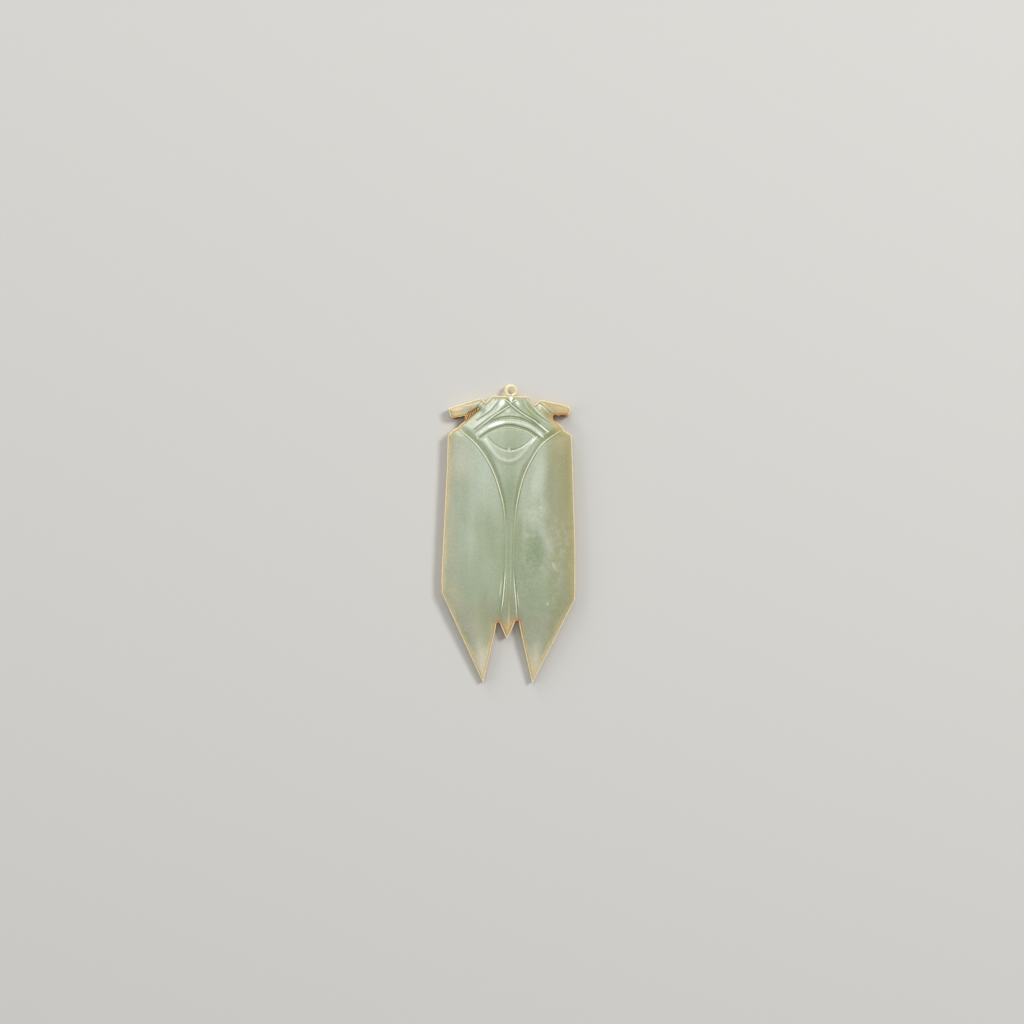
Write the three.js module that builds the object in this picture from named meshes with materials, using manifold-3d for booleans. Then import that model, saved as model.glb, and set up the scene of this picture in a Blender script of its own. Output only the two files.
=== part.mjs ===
// Jade cicada pendant: one carved stone seated in a thin gold mount, with a small ring at the head.
// It lies on the back of its mount. Millimetres: X to the right, Y from the wing tips to the head,
// Z up out of the carved face. The origin is under the middle of the whole pendant.
import * as THREE from "three";
import { mergeVertices } from "three/addons/utils/BufferGeometryUtils.js";
import Module from "manifold-3d";

const wasm = await Module();
wasm.setup();

// Mount, measured over the gold
const BODY_LENGTH = 60;
const BODY_WIDTH = 27.9;
const PLATE_THICKNESS = 0.5;
const WALL_THICKNESS = 0.26;
const WALL_DROP = 0.45; // from the rim of the stone down to the top of the wall
const SEAT_CLEARANCE = 0.1; // between the wall and the stone

// Slot beside the left eye, which the wall folds into
const SLOT_MOUTH_WIDTH = 0.9;
const SLOT_END_WIDTH = 0.45;
const SLOT_LENGTH = 3.6;

// Hanging ring, soldered to the wall
const RING_WIRE = 0.9;
const RING_HOLE = 1.2;
const RING_SEAT = 0.56; // how much of the ring's circle is cut off flat against the wall
const RING_ACROSS = 0.18; // from the middle of the body to the middle of the ring
const SOLDER_GAP = 0.05;

// Heights of the stone: its rim above its seat, and how far the dome rises above the rim
const RIM_HEIGHT_AT_TIPS = 1.5;
const RIM_HEIGHT_AT_SIDES = 2.6;
const RIM_FALL_HEIGHT_AT_HEAD = 0.4;
const DOME_HEIGHT_AT_TIPS = 1.1;
const DOME_HEIGHT_AT_WINGS = 2.6;
const DOME_FALL_HEIGHT_AT_HEAD = 0.5;
const CHEST_HEIGHT = 0.5;
const DOME_REACH_LENGTH = 8.5; // how far in from the edge the stone goes on rising
const DOME_FULLNESS = 2.2;
const VALLEY_DEPTH = 0.55; // between the two wings
const VALLEY_HALF_WIDTH = 2.3;

// Where these heights change, as shares of the length from the wing tips
const RIM_LEVEL_FROM = 0.45;
const RISE_LEVEL_FROM = 0.6;
const CHEST = { middle: 0.8, reach: 0.3 };
const VALLEY = { middle: 0.42, reach: 0.34 };
const HEAD_FALLS_FROM = 0.82;

// Carved cuts: widths to either side of the line, and depths
const FINE_CUT = { left: 0.3, right: 0.3, depth: 0.2 };
const DOUBLE_CUT = { left: 0.42, right: 0.42, depth: 0.26 };
const BAND_CUT = { left: 0.5, right: 0.4, depth: 0.32 };
const LENS_CUT = { left: 0.28, right: 0.28, depth: 0.26 };
const LIP_CUT = { left: 0.2, right: 0.75, depth: 0.3 };
const WING_CUT_BESIDE_CHEST = 1.25;
const WING_CUT_BESIDE_ABDOMEN = 0.5;
const WING_CUT_UNDER_WING = 0.25;
const WING_CUT_DEPTH = 0.5;
const CUT_RUN_OUT = 0.14; // share of a cut's length over which it fades at each end
const CUT_AT_ENDS = 0.2; // what is left of its size there
const CUT_OVERSHOOT = 0.5; // how far a cutter's flanks go on past the surface, as a share
const CUT_ROOF_HEIGHT = 1; // of a cutter's blunt side above the surface
const WING_CUT_NARROWS = { from: 0.25, to: 0.6 }; // shares of its length from the shoulder

// Facets
const GRID_STEP = 1.25;
const CUT_STEP = 1.4;
const CHORD_ERROR = 0.02;
const RING_SIDES = 10;
const RING_STEPS = 28;
const HEIGHT_STEPS = 14;
const MARGIN = 1.5; // what cutters and blanks reach past the body

const GOLD = { color: 0xc99a3e, roughness: 0.3, metalness: 1 };
const JADE = { color: 0xb9c3a6, roughness: 0.22, metalness: 0 };

// Corners of the outline: across as a share of half the width, along as a share of the length from
// the wing tips, and how round the corner is. They run counter-clockwise from the head's left end.
const SHARP_RADIUS = 0.12;
const SOFT_RADIUS = 0.32;
const ROUND_RADIUS = 1.1;
const SWEEPING_RADIUS = 40;

function place(across, along) {
  return new THREE.Vector2((across * BODY_WIDTH) / 2, along * BODY_LENGTH);
}

function corner(across, along, radius) {
  return { point: place(across, along), radius };
}

const HEAD_AND_LEFT_EYE = [
  corner(-0.266, 1, SOFT_RADIUS),
  corner(-0.368, 0.976, SHARP_RADIUS),
  corner(-0.439, 0.9915, SOFT_RADIUS),
  corner(-0.928, 0.954, SOFT_RADIUS),
  corner(-0.892, 0.9242, SOFT_RADIUS),
  corner(-0.826, 0.9177, SOFT_RADIUS),
  corner(-0.673, 0.9257, SHARP_RADIUS),
];
const LEFT_SIDE = [
  corner(-0.692, 0.9118, SHARP_RADIUS),
  corner(-0.784, 0.8872, SHARP_RADIUS),
  corner(-0.835, 0.8819, SOFT_RADIUS),
  corner(-0.928, 0.8591, SOFT_RADIUS),
  corner(-0.936, 0.7523, SWEEPING_RADIUS),
  corner(-1.003, 0.373, SWEEPING_RADIUS),
  corner(-0.998, 0.3138, ROUND_RADIUS),
];
const TAIL = [
  corner(-0.365, -0.003, SHARP_RADIUS),
  corner(-0.153, 0.2214, SOFT_RADIUS),
  corner(-0.015, 0.1504, SOFT_RADIUS),
  corner(0.139, 0.2283, SOFT_RADIUS),
  corner(0.368, -0.003, SHARP_RADIUS),
];
const RIGHT_SIDE = [
  corner(0.999, 0.2962, ROUND_RADIUS),
  corner(0.996, 0.4642, SWEEPING_RADIUS),
  corner(0.943, 0.7772, SWEEPING_RADIUS),
  corner(0.925, 0.8634, SOFT_RADIUS),
  corner(0.878, 0.872, SOFT_RADIUS),
  corner(0.815, 0.8792, SHARP_RADIUS),
  corner(0.792, 0.8927, SOFT_RADIUS),
];
const RIGHT_EYE = [
  corner(0.662, 0.9195, SHARP_RADIUS),
  corner(0.656, 0.9307, SHARP_RADIUS),
  corner(0.883, 0.9308, SOFT_RADIUS),
  corner(0.925, 0.962, ROUND_RADIUS),
  corner(0.784, 0.9716, ROUND_RADIUS),
  corner(0.456, 0.988, SOFT_RADIUS),
  corner(0.368, 0.9697, SHARP_RADIUS),
  corner(0.283, 0.998, SOFT_RADIUS),
];

// Plane geometry of outlines

function turnBetween(arriving, leaving) {
  return Math.atan2(arriving.cross(leaving), arriving.dot(leaving));
}

function directionsAt(corners, index) {
  const { point } = corners[index];
  const before = corners.at(index - 1).point;
  const after = corners[(index + 1) % corners.length].point;
  return {
    arriving: point.clone().sub(before),
    leaving: after.clone().sub(point),
  };
}

function leftOf(direction) {
  return new THREE.Vector2(-direction.y, direction.x);
}

// Where the line through p along d crosses the line through q along e.
function lineCross(p, d, q, e) {
  const share = q.clone().sub(p).cross(e) / d.cross(e);
  return p.clone().addScaledVector(d, share);
}

// The same outline, moved inwards by an even distance.
function insetCorners(corners, inset) {
  return corners.map(({ point, radius }, index) => {
    const { arriving, leaving } = directionsAt(corners, index);
    arriving.normalize();
    leaving.normalize();
    const onArriving = point.clone().addScaledVector(leftOf(arriving), inset);
    const onLeaving = point.clone().addScaledVector(leftOf(leaving), inset);
    const moved = lineCross(onArriving, arriving, onLeaving, leaving);
    const isConvex = arriving.cross(leaving) > 0;
    return {
      point: moved,
      radius: isConvex ? Math.max(radius - inset, 0) : radius + inset,
    };
  });
}

// The outline's points, with an arc at each corner as far as its neighbours leave room.
function roundedPath(corners) {
  const longestShare = 0.48;
  const leastReach = 0.02;
  return corners.flatMap(({ point, radius }, index) => {
    const { arriving, leaving } = directionsAt(corners, index);
    const turn = turnBetween(arriving, leaving);
    const slope = Math.tan(Math.abs(turn) / 2);
    const room = longestShare * Math.min(arriving.length(), leaving.length());
    const reach = Math.min(radius * slope, room);
    if (reach < leastReach) return [point.clone()];
    const fitted = reach / slope;
    arriving.normalize();
    const start = point.clone().addScaledVector(arriving, -reach);
    const centre = start
      .clone()
      .addScaledVector(leftOf(arriving), Math.sign(turn) * fitted);
    const stepAngle = 2 * Math.acos(1 - Math.min(CHORD_ERROR / fitted, 0.5));
    const steps = Math.max(1, Math.ceil(Math.abs(turn) / stepAngle));
    return Array.from({ length: steps + 1 }, (_, step) =>
      start.clone().rotateAround(centre, (turn * step) / steps),
    );
  });
}

const mountCorners = [
  ...HEAD_AND_LEFT_EYE,
  ...LEFT_SIDE,
  ...TAIL,
  ...RIGHT_SIDE,
  ...RIGHT_EYE,
];
const mouthIndex = HEAD_AND_LEFT_EYE.length - 1;

// The slot's four corners on the stone, from its upper mouth round its end to its lower mouth, each
// side moved towards the middle by a clearance, starting on the mouth of the given outline.
const slotMouth = place(-0.682, 0.9187);
const slotAim = place(-0.463, 0.9554);
const slotDirection = slotAim.clone().sub(slotMouth).normalize();

function slotCorners(outline, clearance) {
  const upward = leftOf(slotDirection);
  const end = slotMouth
    .clone()
    .addScaledVector(slotDirection, SLOT_LENGTH - clearance);
  const mouth = outline[mouthIndex].point;
  const mouthLine = outline[mouthIndex + 1].point.clone().sub(mouth);
  const edge = (side) => {
    const atMouth = side * (SLOT_MOUTH_WIDTH / 2 - clearance);
    const atEnd = side * (SLOT_END_WIDTH / 2 - clearance);
    const inner = end.clone().addScaledVector(upward, atEnd);
    const outer = slotMouth.clone().addScaledVector(upward, atMouth);
    const run = inner.clone().sub(outer);
    return [lineCross(outer, run, mouth, mouthLine), inner];
  };
  const [upperMouth, upperEnd] = edge(1);
  const [lowerMouth, lowerEnd] = edge(-1);
  return [upperMouth, upperEnd, lowerEnd, lowerMouth].map((point) => ({
    point,
    radius: 0,
  }));
}

function stoneOutline() {
  const corners = insetCorners(mountCorners, WALL_THICKNESS + SEAT_CLEARANCE);
  const slot = slotCorners(corners, 0);
  corners.splice(mouthIndex + 1, 0, ...slot);
  return roundedPath(corners);
}

// Solids from plane outlines

function solidOf(geometry) {
  geometry.deleteAttribute("normal");
  geometry.deleteAttribute("uv");
  const merged = mergeVertices(geometry, 1e-4);
  return new wasm.Manifold(
    new wasm.Mesh({
      numProp: 3,
      vertProperties: merged.attributes.position.array,
      triVerts: new Uint32Array(merged.index.array),
    }),
  );
}

function geometryOf(solid) {
  const mesh = solid.getMesh();
  return new THREE.BufferGeometry()
    .setAttribute("position", new THREE.BufferAttribute(mesh.vertProperties, 3))
    .setIndex(new THREE.BufferAttribute(mesh.triVerts, 1));
}

function prism(points, bottom, top) {
  const geometry = new THREE.ExtrudeGeometry(new THREE.Shape(points), {
    depth: top - bottom,
    bevelEnabled: false,
  });
  return solidOf(geometry.translate(0, 0, bottom));
}

// Heights of the stone

function easeIn(share) {
  return 1 - (1 - THREE.MathUtils.clamp(share, 0, 1)) ** 2;
}

// A hump of height one in the middle of a stretch, level at both of its ends.
function hump(value, { middle, reach }) {
  const share = Math.min(Math.abs(value - middle) / reach, 1);
  return (1 - share ** 2) ** 2;
}

function headFall(along) {
  return Math.max((along - HEAD_FALLS_FROM) / (1 - HEAD_FALLS_FROM), 0) ** 2;
}

function rimHeight(y) {
  const along = y / BODY_LENGTH;
  const sides = (RIM_HEIGHT_AT_SIDES - RIM_HEIGHT_AT_TIPS) * easeIn(along / RIM_LEVEL_FROM);
  return RIM_HEIGHT_AT_TIPS + sides - RIM_FALL_HEIGHT_AT_HEAD * headFall(along);
}

function domeRise(y) {
  const along = y / BODY_LENGTH;
  const wings = (DOME_HEIGHT_AT_WINGS - DOME_HEIGHT_AT_TIPS) * easeIn(along / RISE_LEVEL_FROM);
  const chest = CHEST_HEIGHT * hump(along, CHEST);
  return DOME_HEIGHT_AT_TIPS + wings + chest - DOME_FALL_HEIGHT_AT_HEAD * headFall(along);
}

function isInside(outline, x, y) {
  let inside = false;
  outline.forEach((a, index) => {
    const b = outline[(index + 1) % outline.length];
    if (a.y > y === b.y > y) return;
    if (x < a.x + ((y - a.y) / (b.y - a.y)) * (b.x - a.x)) inside = !inside;
  });
  return inside;
}

// Distance in from the outline. It adds 1/r^4 along the whole outline and gives the distance from a
// straight edge that would add as much, so it is true near the edge and has no creases further in.
function softDistance(outline, x, y) {
  const leastOff = 0.01;
  const point = new THREE.Vector2(x, y);
  const part = (along, off) =>
    along / (2 * off ** 2 * (off ** 2 + along ** 2)) +
    Math.atan(along / off) / (2 * off ** 3);
  const total = outline.reduce((sum, a, index) => {
    const b = outline[(index + 1) % outline.length];
    const direction = b.clone().sub(a);
    const length = direction.length();
    direction.divideScalar(length);
    const toStart = a.clone().sub(point);
    const off = Math.max(Math.abs(toStart.cross(direction)), leastOff);
    const start = toStart.dot(direction);
    return sum + part(start + length, off) - part(start, off);
  }, 0);
  const distance = Math.cbrt(Math.PI / 2 / total);
  return isInside(outline, x, y) ? distance : -distance;
}

function topHeight(outline, x, y) {
  const share = Math.min(softDistance(outline, x, y) / DOME_REACH_LENGTH, 1);
  const dome = domeRise(y) * (1 - (1 - share) ** DOME_FULLNESS);
  const between = Math.exp(-((x / VALLEY_HALF_WIDTH) ** 2));
  const valley = VALLEY_DEPTH * between * hump(y / BODY_LENGTH, VALLEY);
  return rimHeight(y) + dome - valley;
}

// A block with the dome on top, larger than the stone all round and deeper than its underside.
function domedBlank(outline) {
  const width = BODY_WIDTH + 2 * MARGIN;
  const length = BODY_LENGTH + 2 * MARGIN;
  const columns = Math.round(width / GRID_STEP);
  const rows = Math.round(length / GRID_STEP);
  const block = new THREE.BoxGeometry(width, length, 1, columns, rows, 1);
  block.translate(0, BODY_LENGTH / 2, 0);
  const position = block.attributes.position;
  for (let i = 0; i < position.count; i++) {
    const isTop = position.getZ(i) > 0;
    const x = position.getX(i);
    const y = position.getY(i);
    position.setZ(i, isTop ? topHeight(outline, x, y) : -MARGIN);
  }
  return solidOf(block);
}

// Carving

// A curve through chosen places on the body.
function line(...places) {
  return new THREE.SplineCurve(places.map(([across, along]) => place(across, along)));
}

// A curve from left to right whose middle stands above its ends by a rise, in shares of the body.
function arch(middle, along, halfSpan, rise) {
  const steps = 8;
  const places = Array.from({ length: steps + 1 }, (_, step) => {
    const share = (2 * step) / steps - 1;
    return [middle + share * halfSpan, along - rise * share ** 2];
  });
  return line(...places);
}

// A sharp-bottomed cutter that follows a curve over the dome. Its flanks meet the surface at the
// given widths left and right of the curve, and it grows shallow towards both ends.
function cutter(outline, curve, sizeAt) {
  const pieces = Math.max(4, Math.round(curve.getLength() / CUT_STEP));
  const sectionAt = (share) => {
    const point = curve.getPointAt(share);
    const across = leftOf(curve.getTangentAt(share));
    const { left, right, depth } = sizeAt(share);
    const nearEnd = Math.min(share, 1 - share) / CUT_RUN_OUT;
    const fade = Math.max(easeIn(nearEnd), CUT_AT_ENDS);
    const flank = (offset) => {
      const reach = offset * fade * (1 + CUT_OVERSHOOT);
      const at = point.clone().addScaledVector(across, reach);
      const height = topHeight(outline, at.x, at.y);
      return [at.x, at.y, height + CUT_OVERSHOOT * depth * fade];
    };
    const surface = topHeight(outline, point.x, point.y);
    const bottom = [point.x, point.y, surface - depth * fade];
    const roof = [point.x, point.y, surface + CUT_ROOF_HEIGHT];
    return [flank(left), bottom, flank(-right), roof];
  };
  const sections = Array.from({ length: pieces + 1 }, (_, i) => sectionAt(i / pieces));
  const index = [];
  const sides = 4;
  for (let i = 0; i < pieces; i++) {
    for (let side = 0; side < sides; side++) {
      const a = sides * i + side;
      const b = sides * i + ((side + 1) % sides);
      index.push(a, a + sides, b, b, a + sides, b + sides);
    }
  }
  const last = sides * pieces;
  index.push(0, 1, 2, 0, 2, 3);
  index.push(last, last + 2, last + 1, last, last + 3, last + 2);
  const geometry = new THREE.BufferGeometry()
    .setAttribute("position", new THREE.Float32BufferAttribute(sections.flat(2), 3))
    .setIndex(index);
  return solidOf(geometry);
}

const even = (size) => () => size;

// The cut along a wing's inner edge: steep under the wing, a long slope on the chest that narrows
// to a short one beside the abdomen. The curve runs from the shoulder to the tail.
function wingCut(wingIsLeft) {
  return (share) => {
    const { from, to } = WING_CUT_NARROWS;
    const narrowing = THREE.MathUtils.smoothstep(share, from, to);
    const slope = THREE.MathUtils.lerp(
      WING_CUT_BESIDE_CHEST,
      WING_CUT_BESIDE_ABDOMEN,
      narrowing,
    );
    return {
      left: wingIsLeft ? slope : WING_CUT_UNDER_WING,
      right: wingIsLeft ? WING_CUT_UNDER_WING : slope,
      depth: WING_CUT_DEPTH,
    };
  };
}

const CARVING = [
  // Collar: two lines that cross below the ring
  [line([-0.1, 0.989], [0.013, 0.971], [0.127, 0.946], [0.3, 0.919], [0.564, 0.873]), even(DOUBLE_CUT)],
  [line([0.11, 0.988], [0.013, 0.971], [-0.113, 0.948], [-0.29, 0.921], [-0.552, 0.873]), even(DOUBLE_CUT)],
  // Outer collar lines beside the eyes
  [line([-0.19, 0.985], [-0.27, 0.955], [-0.389, 0.934], [-0.52, 0.911]), even(DOUBLE_CUT)],
  [line([0.215, 0.984], [0.29, 0.957], [0.42, 0.93], [0.585, 0.905]), even(DOUBLE_CUT)],
  // Arches over the chest panel
  [arch(0, 0.93, 0.54, 0.057), even(BAND_CUT)],
  [arch(0.005, 0.9, 0.475, 0.05), even(BAND_CUT)],
  // Lens-shaped panel and the lip under it
  [arch(0.005, 0.809, 0.35, -0.05), even(LENS_CUT)],
  [arch(0.005, 0.774, 0.39, -0.082), even(LIP_CUT)],
  // Inner borders of the eyes
  [line([0.4, 0.975], [0.493, 0.963], [0.591, 0.944], [0.67, 0.931]), even(FINE_CUT)],
  [line([-0.395, 0.973], [-0.435, 0.963], [-0.475, 0.953]), even(FINE_CUT)],
  // Inner edges of the wings
  [
    line(
      [-0.76, 0.88], [-0.648, 0.859], [-0.49, 0.8245], [-0.346, 0.7796], [-0.231, 0.7277],
      [-0.14, 0.666], [-0.078, 0.6], [-0.05, 0.5], [-0.053, 0.389], [-0.09, 0.28], [-0.145, 0.212],
    ),
    wingCut(true),
  ],
  [
    line(
      [0.79, 0.882], [0.69, 0.868], [0.491, 0.8319], [0.35, 0.7863], [0.231, 0.73],
      [0.155, 0.67], [0.102, 0.5966], [0.073, 0.5], [0.078, 0.389], [0.115, 0.29], [0.139, 0.216],
    ),
    wingCut(false),
  ],
  // Ridge line of the abdomen
  [line([0.006, 0.33], [0.006, 0.26], [0.004, 0.19]), even(FINE_CUT)],
];

function carvedStone() {
  const outline = stoneOutline();
  const highest = 4 * RIM_HEIGHT_AT_SIDES;
  const blank = domedBlank(outline).intersect(prism(outline, 0, highest));
  const carved = CARVING.reduce(
    (stone, [curve, sizeAt]) => stone.subtract(cutter(outline, curve, sizeAt)),
    blank,
  );
  return geometryOf(carved);
}

// Gold mount

function backPlate() {
  const outline = roundedPath(mountCorners);
  return new THREE.ExtrudeGeometry(new THREE.Shape(outline), {
    depth: PLATE_THICKNESS,
    bevelEnabled: false,
  });
}

// A block whose top follows the rim of the stone from end to end, a little below it.
function wallBlank() {
  const profile = Array.from({ length: HEIGHT_STEPS + 1 }, (_, step) => {
    const y = -MARGIN + ((BODY_LENGTH + 2 * MARGIN) * step) / HEIGHT_STEPS;
    return new THREE.Vector2(y, rimHeight(y) - WALL_DROP);
  });
  profile.push(new THREE.Vector2(BODY_LENGTH + MARGIN, 0));
  profile.push(new THREE.Vector2(-MARGIN, 0));
  const width = BODY_WIDTH + 2 * MARGIN;
  const geometry = new THREE.ExtrudeGeometry(new THREE.Shape(profile), {
    depth: width,
    bevelEnabled: false,
  });
  geometry.translate(0, 0, -width / 2);
  const turned = new THREE.Matrix4().makeBasis(
    new THREE.Vector3(0, 1, 0),
    new THREE.Vector3(0, 0, 1),
    new THREE.Vector3(1, 0, 0),
  );
  return solidOf(geometry.applyMatrix4(turned));
}

function bezelStrip() {
  const innerCorners = insetCorners(mountCorners, WALL_THICKNESS);
  const tall = 4 * RIM_HEIGHT_AT_SIDES;
  const wall = prism(roundedPath(mountCorners), 0, tall).subtract(
    prism(roundedPath(innerCorners), -MARGIN, tall + MARGIN),
  );
  const foldCorners = slotCorners(mountCorners, SEAT_CLEARANCE);
  const fold = prism(roundedPath(foldCorners), 0, tall);
  return geometryOf(wall.add(fold).intersect(wallBlank()));
}

function hangingRing() {
  const wireRadius = RING_WIRE / 2;
  const loopRadius = (RING_HOLE + RING_WIRE) / 2;
  const ring = new THREE.TorusGeometry(loopRadius, wireRadius, RING_SIDES, RING_STEPS);
  const reach = loopRadius + wireRadius;
  const cutBlock = new THREE.BoxGeometry(2 * reach, reach, 2 * reach);
  cutBlock.translate(0, RING_SEAT - reach - reach / 2, 0);
  return geometryOf(solidOf(ring).subtract(solidOf(cutBlock)));
}

// Assembly

function piece(name, geometry, material) {
  const mesh = new THREE.Mesh(geometry, new THREE.MeshStandardMaterial(material));
  mesh.name = name;
  return mesh;
}

const pendant = new THREE.Group();

const plate = piece("back_plate", backPlate(), GOLD);
pendant.add(plate);

const onPlate = new THREE.Group();
onPlate.position.z = PLATE_THICKNESS;
onPlate.add(piece("bezel_strip", bezelStrip(), GOLD));
onPlate.add(piece("jade_cicada", carvedStone(), JADE));
pendant.add(onPlate);

// The ring's wire ends level with the top of the wall.
const ring = piece("hanging_ring", hangingRing(), GOLD);
const ringReach = RING_HOLE / 2 + RING_WIRE;
const ringLift = rimHeight(BODY_LENGTH) - WALL_DROP - RING_WIRE / 2;
ring.position.set(RING_ACROSS, BODY_LENGTH + SOLDER_GAP + ringReach - RING_SEAT, ringLift);
onPlate.add(ring);

const extent = new THREE.Box3().setFromObject(pendant);
const middle = extent.getCenter(new THREE.Vector3());
pendant.position.set(-middle.x, -middle.y, -extent.min.z);

export default pendant;
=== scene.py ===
"""Jade cicada pendant on a pale floor: a carved stone in a thin gold mount with a hanging ring.

Lengths in this script are millimetres until a mesh is made. A place on the body is given as two
shares: across, of half the width from the middle, and along, of the length from the wing tips.
"""

from __future__ import annotations

import logging
import math
from collections.abc import Callable, Sequence
from dataclasses import dataclass, field
from enum import Enum

import bpy
import numpy as np
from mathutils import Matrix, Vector
from mathutils.geometry import delaunay_2d_cdt


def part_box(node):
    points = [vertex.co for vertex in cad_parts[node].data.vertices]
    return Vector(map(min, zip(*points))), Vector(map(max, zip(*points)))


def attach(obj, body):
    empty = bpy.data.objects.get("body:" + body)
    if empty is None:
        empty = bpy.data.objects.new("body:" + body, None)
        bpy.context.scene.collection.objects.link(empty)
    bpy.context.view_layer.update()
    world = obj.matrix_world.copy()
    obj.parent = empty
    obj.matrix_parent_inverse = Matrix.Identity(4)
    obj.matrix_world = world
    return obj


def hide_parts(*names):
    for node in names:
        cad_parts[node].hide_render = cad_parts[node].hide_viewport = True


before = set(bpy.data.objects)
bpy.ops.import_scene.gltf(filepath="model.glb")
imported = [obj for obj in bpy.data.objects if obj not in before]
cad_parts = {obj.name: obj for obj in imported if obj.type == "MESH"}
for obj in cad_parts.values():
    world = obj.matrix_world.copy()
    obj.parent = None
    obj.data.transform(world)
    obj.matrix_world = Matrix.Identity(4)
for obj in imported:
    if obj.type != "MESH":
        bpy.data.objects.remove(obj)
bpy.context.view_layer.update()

Array = np.ndarray
Shares = Sequence[tuple[float, float]]
Node, NodeTree, Socket = bpy.types.Node, bpy.types.NodeTree, bpy.types.NodeSocket
Piece, Material = bpy.types.Object, bpy.types.Material
MM = 0.001
LOG = logging.getLogger("pendant")


class Slot(Enum):
    """Material slots: jade and gold."""

    JADE = "jade"
    GOLD = "gold"


# Plane geometry on whole arrays


def cross(a: Array, b: Array) -> Array:
    """Cross product of plane vectors held in the last axis."""
    return a[..., 0] * b[..., 1] - a[..., 1] * b[..., 0]


def unit(vectors: Array) -> Array:
    """Vectors scaled to length one."""
    return vectors / np.maximum(np.linalg.norm(vectors, axis=-1, keepdims=True), 1e-12)


def left_of(directions: Array) -> Array:
    """Directions turned a quarter turn to the left."""
    return np.stack([-directions[..., 1], directions[..., 0]], axis=-1)


def moved_in(loop: Array, distance: float | Array) -> Array:
    """Points of a closed loop moved to the left of its run."""
    ahead = unit(np.roll(loop, -1, axis=0) - np.roll(loop, 1, axis=0))
    return loop + left_of(ahead) * distance


def smooth(value: Array) -> Array:
    """Smooth step of a share, level at 0 and at 1."""
    share = np.clip(value, 0, 1)
    return share * share * (3 - 2 * share)


def ease_in(value: Array) -> Array:
    """Share that rises at once and comes level at 1."""
    return 1 - (1 - np.clip(value, 0, 1)) ** 2


def bell(value: Array, half: float) -> Array:
    """Bell of height one round zero, about a third as high at half."""
    return np.exp(-((value / half) ** 2))


def hump(value: Array, middle: float, reach: float) -> Array:
    """Hump of height one round a middle, level at both of its ends."""
    share = np.minimum(np.abs(value - middle) / reach, 1)
    return (1 - share**2) ** 2


def to_end(share: Array) -> Array:
    """Distance of a share to the nearer of 0 and 1."""
    return np.minimum(share, 1 - share)


def thinned(points: Array, cell: float = 0.07) -> Array:
    """Keep the first point in each square cell."""
    _, first = np.unique(np.floor(points / cell).astype(np.int64), axis=0, return_index=True)
    return points[np.sort(first)]


def inside(points: Array, loop: Array) -> Array:
    """Tell which points lie inside a closed loop, by counting the edges to the right of each."""
    result = np.zeros(len(points), bool)
    for (ax, ay), (bx, by) in zip(loop, np.roll(loop, -1, axis=0)):
        spans = (ay > points[:, 1]) != (by > points[:, 1])
        if spans.any():
            result ^= spans & (points[:, 0] < ax + (points[:, 1] - ay) / (by - ay) * (bx - ax))
    return result


def in_parts(function: Callable[[Array], Array], points: Array, size: int = 3000) -> Array:
    """Work a function out on a few thousand points at a time, to spare memory."""
    count = max(1, math.ceil(len(points) / size))
    return np.concatenate([function(part) for part in np.array_split(points, count)])


def edge_distance(points: Array, loop: Array) -> Array:
    """Distance from each point to the nearest piece of a closed loop."""
    ends = np.roll(loop, -1, axis=0) - loop
    squared = np.maximum(np.sum(ends**2, axis=1), 1e-12)

    def nearest(some: Array) -> Array:
        """Distance of some of the points."""
        away = some[:, None] - loop
        share = np.clip(np.sum(away * ends, axis=2) / squared, 0, 1)
        return np.linalg.norm(away - share[..., None] * ends, axis=2).min(axis=1)

    return in_parts(nearest, points)


def soft_distance(points: Array, loop: Array) -> Array:
    """Distance in from a loop, without creases.

    It adds one over the fourth power of the distance along the whole loop and gives the distance
    from a straight edge that would add as much.
    """
    ahead = np.roll(loop, -1, axis=0) - loop
    lengths = np.linalg.norm(ahead, axis=1)
    ahead = ahead / lengths[:, None]
    least_off = 0.01

    def distance(some: Array) -> Array:
        """Soft distance of some of the points."""
        to_start = loop - some[:, None]
        off = np.maximum(np.abs(cross(to_start, ahead)), least_off)
        start = np.sum(to_start * ahead, axis=2)

        def part(along: Array) -> Array:
            """What a piece adds, up to a place along it."""
            straight = along / (2 * off**2 * (off**2 + along**2))
            return straight + np.arctan(along / off) / (2 * off**3)

        total = np.sum(part(start + lengths) - part(start), axis=1)
        return np.cbrt(math.pi / 2 / total)

    return in_parts(distance, points)


@dataclass(frozen=True)
class Body:
    """Size of the mount over the gold."""

    length: float = 60.0
    width: float = 27.9

    def places(self, shares: Shares | Array) -> Array:
        """Places on the body, in millimetres from the middle of the line of the wing tips."""
        return np.asarray(shares, float) * (self.width / 2, self.length)

    def lattice(self, step_x: float, step_y: float) -> Array:
        """Rows of points over the whole body."""
        x = np.arange(-self.width / 2, self.width / 2, step_x)
        return np.stack(np.meshgrid(x, np.arange(0, self.length, step_y)), axis=-1)


BODY = Body()


# Outlines


class Bend(Enum):
    """How round a corner of the outline is: the radius of its arc."""

    SHARP = 0.12
    SOFT = 0.32
    ROUND = 1.1
    SWEEPING = 40.0


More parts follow.
